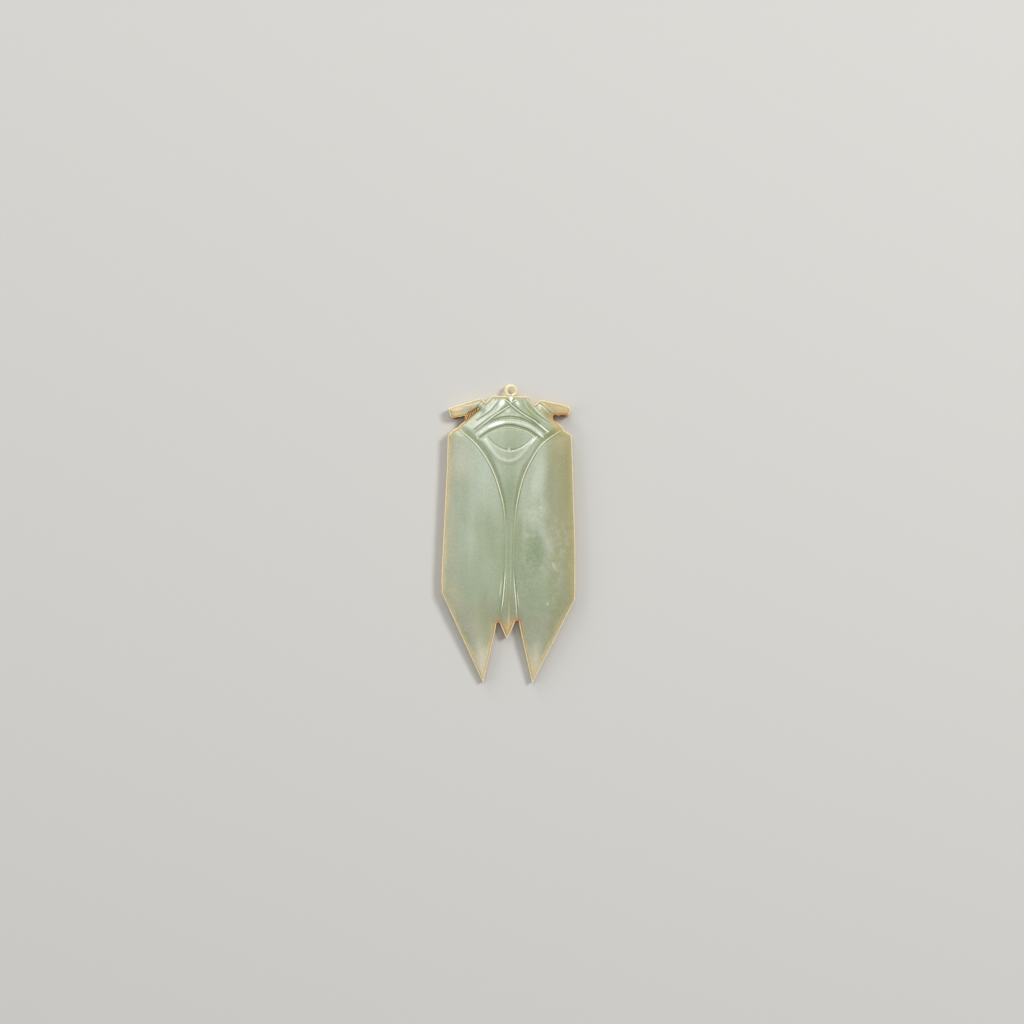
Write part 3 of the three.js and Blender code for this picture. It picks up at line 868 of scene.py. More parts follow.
def make_piece(
    name: str,
    points: Array,
    faces: Sequence[Sequence[int]],
    slot: Slot,
    replaced: str,
    sharp_angle: float,
    **attributes: Array | float,
) -> Piece:
    """Make a mesh object that stands for a node.

    Args:
        name: Name of the piece.
        points: Points in metres in the row frame.
        faces: Point numbers of each face, counter-clockwise seen from outside.
        slot: Not used.
        replaced: Node that it stands for.
        sharp_angle: Edges that turn more than this, in degrees, are drawn sharp.
        **attributes: Numbers stored on the points, by their name.

    Returns:
        The new object, linked to the scene.
    """
    mesh = bpy.data.meshes.new(name)
    mesh.from_pydata(points.tolist(), [], [list(face) for face in faces])
    mesh.shade_smooth()
    mesh.set_sharp_from_angle(angle=math.radians(sharp_angle))
    mesh.validate()
    for label, values in attributes.items():
        stored = np.broadcast_to(values, len(points)).astype(np.float32)
        mesh.attributes.new(label, "FLOAT", "POINT").data.foreach_set("value", stored)
    piece = bpy.data.objects.new(name, mesh)
    bpy.context.scene.collection.objects.link(piece)
    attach(piece, "root")
    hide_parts(replaced)
    return piece


def grid_faces(rows: int, columns: int, closed: bool = True) -> Array:
    """Faces of a grid of points that is closed on itself along its columns.

    Args:
        rows: Number of rows.
        columns: Points in a row.
        closed: Whether the last row meets the first.

    Returns:
        Four point numbers for each face.
    """
    row, column = np.indices((rows if closed else rows - 1, columns))
    this, following = row * columns, (row + 1) % rows * columns
    beside = (column + 1) % columns
    corners = [this + column, this + beside, following + beside, following + column]
    return np.stack(corners, axis=-1).reshape(-1, 4)


def band_faces(lower: Array, upper: Array) -> Array:
    """Faces between two closed rows of point numbers."""
    return np.stack([lower, np.roll(lower, -1), np.roll(upper, -1), upper], axis=1)


def filled(loop: Array, within: Array) -> tuple[Array, Array, Array]:
    """Fill a loop with triangles between its own points and others inside it.

    Args:
        loop: Points of the closed loop.
        within: Points inside it.

    Returns:
        All the points, the triangles counter-clockwise, and the loop's place among the points.
    """
    coords = [Vector(point) for point in np.concatenate([loop, within]).tolist()]
    border = [list(range(len(loop)))]
    points, _, faces, origins, _, _ = delaunay_2d_cdt(coords, [], border, 1, 1e-6)
    points, faces = np.array(points), np.array(faces)
    a, b, c = (points[faces[:, i]] for i in range(3))
    backward = cross(b - a, c - a) < 0
    faces[backward] = faces[backward][:, ::-1]
    place = np.full(len(coords), -1)
    for made, sources in enumerate(origins):
        place[sources] = made
    return points, faces, place[: len(loop)]


@dataclass
class Stone:
    """The carved jade: a dome cut by its carving, on a flat underside."""

    mount: Outline
    placement: Placement
    relief: Relief = field(default_factory=Relief)
    carving: Carving = field(default_factory=Carving)
    slot: EyeSlot = field(default_factory=EyeSlot)
    mount_wall: float = 0.26
    clearance: float = 0.04
    spacing: float = 0.16
    chord_error: float = 0.004
    plain_spacing: float = 4.0  # of the plainer loop that distances are measured to
    plain_chord_error: float = 0.006
    edge_rows: tuple[float, ...] = (0.03, 0.09, 0.17, 0.28, 0.42)
    least_gap: float = 0.027  # between the edge and the points inside it
    fine_grid: float = 0.13
    coarse_grid: float = 0.36

    def _inner_points(self, loop: Array, plain_loop: Array) -> Array:
        """Points inside the outline: close rows at the edge and on the carving, then a grid."""
        rows = [*(moved_in(loop, step) for step in self.edge_rows), self.carving.rows()]
        fine = BODY.lattice(self.fine_grid, self.fine_grid).reshape(-1, 2)
        across, along = np.abs(fine[:, 0]) / (BODY.width / 2), fine[:, 1] / BODY.length
        detailed = (along > 0.86) | (along > 0.72) & (across < 0.42)
        detailed |= (across < 0.2) & (along > 0.14)
        for edge in self.carving.wing_edges:
            detailed |= np.abs(edge.curve.offsets(fine, 3.0)[0]) < 1.5
        coarse = BODY.lattice(self.coarse_grid, self.coarse_grid * 0.87)
        coarse[1::2, :, 0] += self.coarse_grid / 2
        points = thinned(np.concatenate([*rows, fine[detailed]]))
        points = thinned(np.concatenate([points, coarse.reshape(-1, 2)]))
        points = points[inside(points, plain_loop)]
        return points[edge_distance(points, plain_loop) > self.least_gap]

    def build(self) -> Piece:
        """Make the stone's mesh.

        Returns:
            The stone, with the distance to its edge, its painted shade and its painted highlights on
            its points.
        """
        seat = self.mount.inset(self.mount_wall + self.clearance)
        outline = seat.with_corners(MOUTH_CORNER, self.slot.corners(seat, 0.0))
        loop = outline.loop(outline.steps(self.spacing, self.chord_error))
        plain_steps = outline.steps(self.plain_spacing, self.plain_chord_error)
        plain_loop = outline.loop(plain_steps)
        plan, top_faces, rim = filled(loop, self._inner_points(loop, plain_loop))
        distance = edge_distance(plan, plain_loop)
        marks = self.carving.marks(plan)
        pit = np.linalg.norm(plan - BODY.places(DRILLED_PIT), axis=1)
        # painted highlights: along the carved lines, on the facet under the ring and in the drilled
        # pit
        shine = [marks.pale, 2 * self.carving.facet(plan), 1.4 * bell(pit, 0.24)]
        height = self.relief.dome(plan, soft_distance(plan, plain_loop))
        height = height + self.carving.raised(plan)
        height -= marks.depth * smooth((distance + 0.15) / 0.5)
        height -= self.relief.rounding(distance)
        under_plan, under_faces, under_rim = filled(loop, np.empty((0, 2)))
        top, under = self.placement.frame(plan, height), self.placement.frame(under_plan, 0.0)
        side = band_faces(under_rim + len(plan), rim)
        faces = [*top_faces.tolist(), *side.tolist()]
        faces += (under_faces[:, ::-1] + len(plan)).tolist()
        attributes = {"edge": distance, "dark": marks.dark, "pale": np.maximum.reduce(shine)}
        level = np.zeros(len(under_plan))
        attributes = {name: np.append(values, level) for name, values in attributes.items()}
        points = np.concatenate([top, under])
        return make_piece("jade_stone", points, faces, Slot.JADE, "jade_cicada", 75, **attributes)


# Gold mount

FOOT = 9.0  # further below the wall's top than the seat, where the profile is cut off


@dataclass
class GoldMount:
    """Back plate, the wall round the stone with its fold in the slot, and the hanging ring."""

    mount: Outline
    placement: Placement
    relief: Relief = field(default_factory=Relief)
    slot: EyeSlot = field(default_factory=EyeSlot)
    wall_profile: tuple[tuple[float, float], ...] = (  # inset, and how far below the top
        (0.03, FOOT), (0.03, 0.5), (0.033, 0.16), (0.05, 0.05), (0.09, 0.0), (0.15, -0.02),
        (0.21, -0.02), (0.26, 0.01), (0.29, 0.1), (0.27, 0.34), (0.24, FOOT),
    )
    waves: tuple[tuple[float, int, float], ...] = ((0.02, 23, 0.4), (0.014, 61, 2), (0.01, 137, 1.1))
    wall_drop: float = 0.24
    crevice_lean: float = 0.16
    crevice_reach: float = 1.3
    pleats: float = 5.2
    pleat_height: float = 0.36
    fold_drop: float = 0.4
    fold_clearance: float = 0.07
    fold_grid: tuple[int, int] = (97, 13)  # along and across
    spacing: float = 0.16
    chord_error: float = 0.004
    plate_rounding: float = 0.14
    plate_grid: float = 0.9
    dent: float = 0.035
    wire_turns: int = 96
    wire_points: int = 28

    def _steps(self) -> Steps:
        """How finely the mount's loops are drawn."""
        return self.mount.steps(self.spacing, self.chord_error)

    def wall(self) -> Piece:
        """Make the wall: one profile carried round the outline.

        The profile goes up the outside, leans over the stone's edge, and comes down the inside.
        Its height follows the rim of the stone, with slow waves from handwork.

        Returns:
            The wall and the fold, as one piece.
        """
        steps = self._steps()
        count = len(self.mount.loop(steps))
        around = np.linspace(0, 2 * math.pi, count, endpoint=False)
        waves = sum(size * np.sin(times * around + shift) for size, times, shift in self.waves)
        rings, deep, worn = [], [], []
        for inset, below in self.wall_profile:
            loop = self.mount.inset(inset).loop(steps)
            crevice = self._crevice(loop)
            leaning = self.crevice_lean * (below < 0.3)
            loop = moved_in(loop, (leaning * crevice)[:, None])
            top = self.relief.rim(loop[:, 1]) - self.wall_drop
            rings.append(self.placement.frame(loop, np.maximum(top - below + waves, 0)))
            on_top = below < 0.1
            # painted shade: orange to brown near the crevices under the eyes and in the tail's notch
            deep.append(self._shade_and_tint_on_top(loop, crevice) if on_top else crevice)
            # painted sheen: the wall's top is paler cream and less metallic
            worn.append(np.full(count, float(on_top)))
        points = np.concatenate(rings)
        fold_points, fold_faces, fold_deep = self._fold(len(points))
        points = np.concatenate([points, fold_points])
        faces = [*grid_faces(len(rings), count), *fold_faces]
        shade_and_tint = np.concatenate([*deep, fold_deep])
        # painted sheen on the crests of the pleats too, at half strength
        wear_and_sheen = np.concatenate([*worn, 0.5 * (fold_deep < 0.2)])
        role = (Slot.GOLD, "bezel_strip", 80)
        return make_piece("gold_wall", points, faces, *role, deep=shade_and_tint, worn=wear_and_sheen)

    def _crevice(self, loop: Array) -> Array:
        """How deep in a crevice each point lies: a bell of the distance to the nearest one."""
        away = np.linalg.norm(loop[:, None] - BODY.places(CREVICES), axis=2).min(axis=1)
        return bell(away, self.crevice_reach)

    def _shade_and_tint_on_top(self, loop: Array, crevice: Array) -> Array:
        """Painted shade on the wall's top near the crevices: little at the head's left, more at its
        right and in the tail's notch, and a slight golden tint towards the tail.
        """
        at_head = np.where(loop[:, 0] > 0, 0.4, 0.12)
        share = np.where(loop[:, 1] > BODY.length / 2, at_head, 0.36)
        golden = 0.15 * smooth(0.38 - loop[:, 1] / BODY.length * 1.2)
        return np.maximum(crevice * share, golden)

    def _fold(self, start: int) -> tuple[Array, list[list[int]], Array]:
        """Pleated gold in the slot beside the left eye.

        Its height is a slanting saw-tooth along the slot, and its sides run down to the plate.

        Args:
            start: Number of its first point.

        Returns:
            Points, faces, and how deep in a pleat each point is, which sets its painted shade.
        """
        corners = self.slot.corners(self.mount.inset(0.1), self.fold_clearance)
        upper_mouth, upper_end, lower_end, lower_mouth = corners
        shares = (np.linspace(0, 1, count) for count in self.fold_grid)
        along, across = np.meshgrid(*shares, indexing="ij")
        low = lower_mouth + (lower_end - lower_mouth) * along[..., None]
        high = upper_mouth + (upper_end - upper_mouth) * along[..., None]
        plan = low + (high - low) * across[..., None]
        phase = (along * self.pleats - across * 0.8 + 0.07 * np.sin(9 * along)) % 1.0
        pleat = np.minimum(1, np.where(phase < 0.7, phase / 0.5, (1 - phase) / 0.2))
        crown = 1 - (2 * across - 1) ** 4
        cap = smooth((along - 0.88) / 0.08)
        turned_over = smooth((0.3 - across) / 0.14)
        raised = np.maximum.reduce([pleat**1.3, cap, turned_over])
        height = self.relief.rim(plan[..., 1]) - self.fold_drop
        height = height + self.pleat_height * raised * crown + 0.06 * crown
        # painted shade in the slits between the pleats
        deep = (1 - 0.9 * pleat) * (1 - cap) * (1 - turned_over)
        number = np.arange(along.size).reshape(along.shape)
        a, b, c, d = number[:-1, :-1], number[1:, :-1], number[1:, 1:], number[:-1, 1:]
        faces = np.stack([a, b, c, d], axis=-1).reshape(-1, 4)
        rim = [number[:, 0], number[-1, 1:], number[-2::-1, -1], number[0, -2:0:-1]]
        rim = np.concatenate(rim)
        plan = plan.reshape(-1, 2)
        under = np.arange(len(rim)) + along.size
        top = self.placement.frame(plan, height.reshape(-1))
        points = np.concatenate([top, self.placement.frame(plan[rim], 0.0)])
        result = [*(faces + start).tolist(), *(band_faces(under, rim) + start).tolist()]
        result.append((under[::-1] + start).tolist())
        return points, result, np.append(deep.reshape(-1), np.ones(len(rim)))

    def _dents(self, plan: Array) -> Array:
        """Height of the uneven back: two crossed waves that bend each other."""
        x, y = plan.T
        one = np.sin(x * 0.9 + 1.3 * np.sin(y * 0.31))
        return self.dent * (one * np.sin(y * 0.7 + 1.1 * np.sin(x * 0.43)))

    def plate(self) -> Piece:
        """Make the back plate: the outline with a rounded edge and a slightly uneven back.

        Returns:
            The plate.
        """
        steps = self._steps()
        thickness = self.placement.seat - self.placement.floor
        r = self.plate_rounding
        angles = np.linspace(0, math.pi / 2, 5)
        rise, fall = r * np.sin(angles), r * np.cos(angles)
        insets = np.concatenate([r - rise, r - fall])
        heights = np.concatenate([r - fall, thickness - r + rise])
        loops = [self.mount.inset(inset).loop(steps) for inset in insets]
        parts = [self.placement.frame(*pair) for pair in zip(loops, heights - thickness)]
        count = len(loops[0])
        total = count * len(loops)
        faces = grid_faces(len(loops), count, closed=False).tolist()
        grid = BODY.lattice(self.plate_grid, self.plate_grid).reshape(-1, 2)
        for row, loop in ((0, loops[0]), (len(loops) - 1, loops[-1])):
            within = grid[inside(grid, loop)]
            plan, cap_faces, rim = filled(loop, within[edge_distance(within, loop) > 0.3])
            is_back = row == 0
            lift = (self.dent + self._dents(plan)) * smooth(edge_distance(plan, loop) / 2)
            number = np.full(len(plan), -1)
            number[rim] = row * count + np.arange(count)
            fresh = number < 0
            number[fresh] = total + np.arange(fresh.sum())
            total += fresh.sum()
            level = lift[fresh] - thickness if is_back else 0.0
            parts.append(self.placement.frame(plan[fresh], level))
            faces += number[cap_faces[:, ::-1] if is_back else cap_faces].tolist()
        role = (Slot.GOLD, "back_plate", 40)
        return make_piece("gold_plate", np.concatenate(parts), faces, *role, deep=0, worn=0)

    def ring(self) -> Piece:
        """Make the hanging ring: a slightly uneven wire ring, flattened where it is soldered.

        The wire's section is carried round the ring's circle. Its distance from the middle stops
        at the flat seat, and two small fillets of solder sit beside the foot.

        Returns:
            The ring.
        """
        low, high = (np.array(corner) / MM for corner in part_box("hanging_ring"))
        reach, wire = (high[0] - low[0]) / 2, (high[2] - low[2]) / 2
        middle = np.array([(low[0] + high[0]) / 2, high[1] - reach, (low[2] + high[2]) / 2])
        seat = middle[1] - low[1]
        shape = self.wire_turns, self.wire_points
        angles = (np.linspace(0, 2 * math.pi, count, endpoint=False) for count in shape)
        turn, about = np.meshgrid(*angles, indexing="ij")
        uneven = (1 + np.cos(5 * turn + 0.6)) / 2 + (1 + np.cos(3 * turn + 2.1)) / 2
        thick = wire * (1 - 0.02 * uneven)
        out = reach - wire + thick * np.cos(about) - 0.01 * uneven * np.clip(np.cos(about), 0, 1)
        out = np.minimum(out, seat / np.maximum(-np.sin(turn), 0.05))
        level = thick * np.sin(about) * (0.93 + 0.07 * np.abs(np.cos(about)))
        ring = np.stack([out * np.cos(turn), out * np.sin(turn), level], axis=-1)
        points = [ring.reshape(-1, 3) + middle]
        faces = [grid_faces(*shape)]
        for side in (-1, 1):
            lump, lump_faces = self._solder(middle + (side * 0.95, -seat + 0.1, -0.1))
            faces.append(lump_faces + sum(len(part) for part in points))
            points.append(lump)
        name, role = "hanging_ring_worn", (Slot.GOLD, "hanging_ring", 80)
        points, faces = np.concatenate(points) * MM, np.concatenate(faces)
        # painted sheen: the whole ring is paler cream and less metallic
        return make_piece(name, points, faces, *role, deep=0, worn=0.85)

    @staticmethod
    def _solder(place: Array, radii: tuple = (0.42, 0.16, 0.3)) -> tuple[Array, Array]:
        """Small rounded lump: a grid wound round an oval, its poles closed by tiny rings."""
        rows, columns = 12, 18
        polar_angles = np.linspace(0.02, math.pi - 0.02, rows)
        turns = np.linspace(0, 2 * math.pi, columns, endpoint=False)
        polar, turn = np.meshgrid(polar_angles, turns, indexing="ij")
        sine = np.sin(polar)
        lump = np.stack([np.cos(polar), sine * np.cos(turn), sine * np.sin(turn)], axis=-1)
        return place + lump.reshape(-1, 3) * radii, grid_faces(rows, columns)[:, ::-1]


# Finishes


def colour(red: float, green: float, blue: float) -> tuple[float, float, float, float]:
    """Colour from screen values of 0 to 255, as the shader wants it."""
    part = np.array([red, green, blue]) / 255
    linear = np.where(part <= 0.04045, part / 12.92, ((part + 0.055) / 1.055) ** 2.4)
    return (*linear.tolist(), 1.0)


class Tree:
    """Short way to add nodes to a node tree and link them."""

    def __init__(self, tree: NodeTree) -> None:
        self.tree = tree

    def set(self, node: Node, **inputs: object) -> None:
        """Set or link inputs of a node.

        Args:
            node: The node.
            **inputs: Value or socket for each input, by its name with spaces as underscores; an
                input known by its number is written i0, i1 and so on.
        """
        for name, value in inputs.items():
            by_number = name[0] == "i" and name[1:].isdigit()
            socket = node.inputs[int(name[1:]) if by_number else name.replace("_", " ")]
            if isinstance(value, Socket):
                self.tree.links.new(value, socket)
            else:
                socket.default_value = value

    def add(self, kind: str, settings: dict | None = None, **inputs: object) -> Node:
        """Add a node, with its own settings and its inputs.

        Args:
            kind: Kind of shader node.
            settings: Values of the node's own properties.
            **inputs: Its inputs, as set() takes them.

        Returns:
            The node.
        """
        node = self.tree.nodes.new(f"ShaderNode{kind}")
        for name, value in (settings or {}).items():
            setattr(node, name, value)
        self.set(node, **inputs)
        return node

    def math(self, operation: str, *values: object, clamp: bool = False) -> Socket:
        """Result of a Math node."""
        inputs = {f"i{place}": value for place, value in enumerate(values)}
        return self.add("Math", {"operation": operation, "use_clamp": clamp}, **inputs).outputs[0]

    def vector(self, operation: str, first: object, second: object = (0, 0, 0)) -> Node:
        """Vector Math node."""
        return self.add("VectorMath", {"operation": operation}, i0=first, i1=second)

    def times(self, first: object, second: object) -> Socket:
        """Product of two values."""
        return self.math("MULTIPLY", first, second)

    def total(self, start: float, *weighted: tuple[float, object]) -> Socket:
        """Start value, and each value times its weight added to it."""
        result: object = start
        for weight, value in weighted:
            result = self.math("MULTIPLY_ADD", value, weight, result)
        return result

    def ramp(self, value: object, low: object, high: object) -> Socket:
        """Smooth share of the way of a value from low to high."""
        smoothly = {"interpolation_type": "SMOOTHSTEP"}
        node = self.add("MapRange", smoothly, Value=value, From_Min=low, From_Max=high)
        return node.outputs["Result"]

    def mix(self, share: object, first: object, second: object) -> Socket:
        """Mix of two colours."""
        return self.add("Mix", {"data_type": "RGBA"}, i0=share, i6=first, i7=second).outputs[2]

    def attribute(self, name: str) -> Socket:
        """Number stored on each point of the piece."""
        return self.add("Attribute", {"attribute_name": name}).outputs["Fac"]

    def millimetres(self) -> Socket:
        """Object coordinates in millimetres."""
        place = self.add("TexCoord").outputs["Object"]
        return self.vector("MULTIPLY", place, (1 / MM,) * 3).outputs[0]


def new_group(name: str, inputs: dict[str, object]) -> tuple[Tree, list[Socket], Socket]:
    """Start a node group that puts out one mask.

    Args:
        name: Name of the group.
        inputs: Starting value of each input by its name; three numbers make a vector.

    Returns:
        Its tree, its inputs in order, and the socket that takes the mask.
    """
    group = bpy.data.node_groups.new(name, "ShaderNodeTree")
    for label, value in inputs.items():
        kind = "NodeSocketVector" if isinstance(value, tuple) else "NodeSocketFloat"
        socket = group.interface.new_socket(label, in_out="INPUT", socket_type=kind)
        socket.default_value = value
    group.interface.new_socket("Mask", in_out="OUTPUT", socket_type="NodeSocketFloat")
    entry = group.nodes.new("NodeGroupInput")
    leave = group.nodes.new("NodeGroupOutput")
    return Tree(group), [entry.outputs[label] for label in inputs], leave.inputs["Mask"]


def grain_group() -> NodeTree:
    """Cloudy variation, stretched by its three frequencies: noise between two levels."""
    blank = (0, 0, 0)
    inputs = {"Place": blank, "Frequency": (1, 1, 1), "Detail": 3.0, "Low": 0.3, "High": 0.7}
    tree, (place, frequency, detail, low, high), result = new_group("cloudy_grain", inputs)
    scaled = tree.vector("MULTIPLY", place, frequency).outputs[0]
    noise = tree.add("TexNoise", Vector=scaled, Detail=detail, Scale=1.0)
    tree.tree.links.new(tree.ramp(noise.outputs[0], low, high), result)
    return tree.tree


def patch_group() -> NodeTree:
    """Soft oval patch with a ragged border, one in its middle and nothing outside."""
    blank = (0, 0, 0)
    inputs = {"Place": blank, "Middle": blank, "Reach": (1, 1, 50), "Turn": 0.0, "Ragged": 0.3}
    tree, (place, middle, reach, turn, ragged), result = new_group("soft_patch", inputs)
    away = tree.vector("SUBTRACT", place, middle).outputs[0]
    turned = tree.add("VectorRotate", {"rotation_type": "Z_AXIS"}, Vector=away, Angle=turn)
    share = tree.vector("DIVIDE", turned.outputs[0], reach).outputs[0]
    size = tree.vector("LENGTH", share).outputs["Value"]
    noise = tree.add("TexNoise", Vector=place, Scale=1.4, Detail=4.0)
    rough = tree.times(tree.math("SUBTRACT", noise.outputs[0], 0.5), ragged)
    border = tree.math("MULTIPLY_ADD", rough, 2.0, size)
    tree.tree.links.new(tree.ramp(border, 1.0, 0.0), result)
    return tree.tree


@dataclass
class SharedEffects:
    """Node groups that more than one material uses."""

    grain: NodeTree
    patch: NodeTree

    @classmethod
    def make(cls) -> SharedEffects:
        """Build each group once."""
        return cls(grain_group(), patch_group())


@dataclass
class Paintwork:
    """A new material: its tree, its Principled shader and the place of each point."""

    name: str
    effects: SharedEffects

    def __post_init__(self) -> None:
        self.material = bpy.data.materials.new(self.name)
        self.material.use_nodes = True
        self.shader = self.material.node_tree.nodes["Principled BSDF"]
        self.tree = Tree(self.material.node_tree)
        self.place = self.tree.millimetres()

    def _mask(self, group: NodeTree, **inputs: object) -> Socket:
        """Mask that a shared group gives."""
        node = self.tree.add("Group", {"node_tree": group}, Place=self.place, **inputs)
        return node.outputs["Mask"]

    def grain(
        self, frequency: tuple[float, ...], detail: float, low: float, high: float
    ) -> Socket:
        """Mask of cloudy variation."""
        inputs = {"Frequency": frequency, "Detail": detail, "Low": low, "High": high}
        return self._mask(self.effects.grain, **inputs)

    def patch(self, patch: Patch) -> Socket:
        """Mask of a soft patch."""
        middle, reach = (patch.x, patch.y, 0), (patch.across, patch.along, 50)
        inputs = {"Middle": middle, "Reach": reach, "Turn": patch.turn, "Ragged": patch.ragged}
        return self._mask(self.effects.patch, **inputs)

    def finish(self, **inputs: object) -> Material:
        """Set the shader's inputs and give the material."""
        self.tree.set(self.shader, **inputs)
        return self.material


@dataclass(frozen=True)
class Patch:
    """Soft oval patch of a colour on the stone: strength, middle, reaches and turn."""

    paint: tuple
    strength: float
    x: float
    y: float
    across: float
    along: float
    turn: float = 0.0
    ragged: float = 0.3


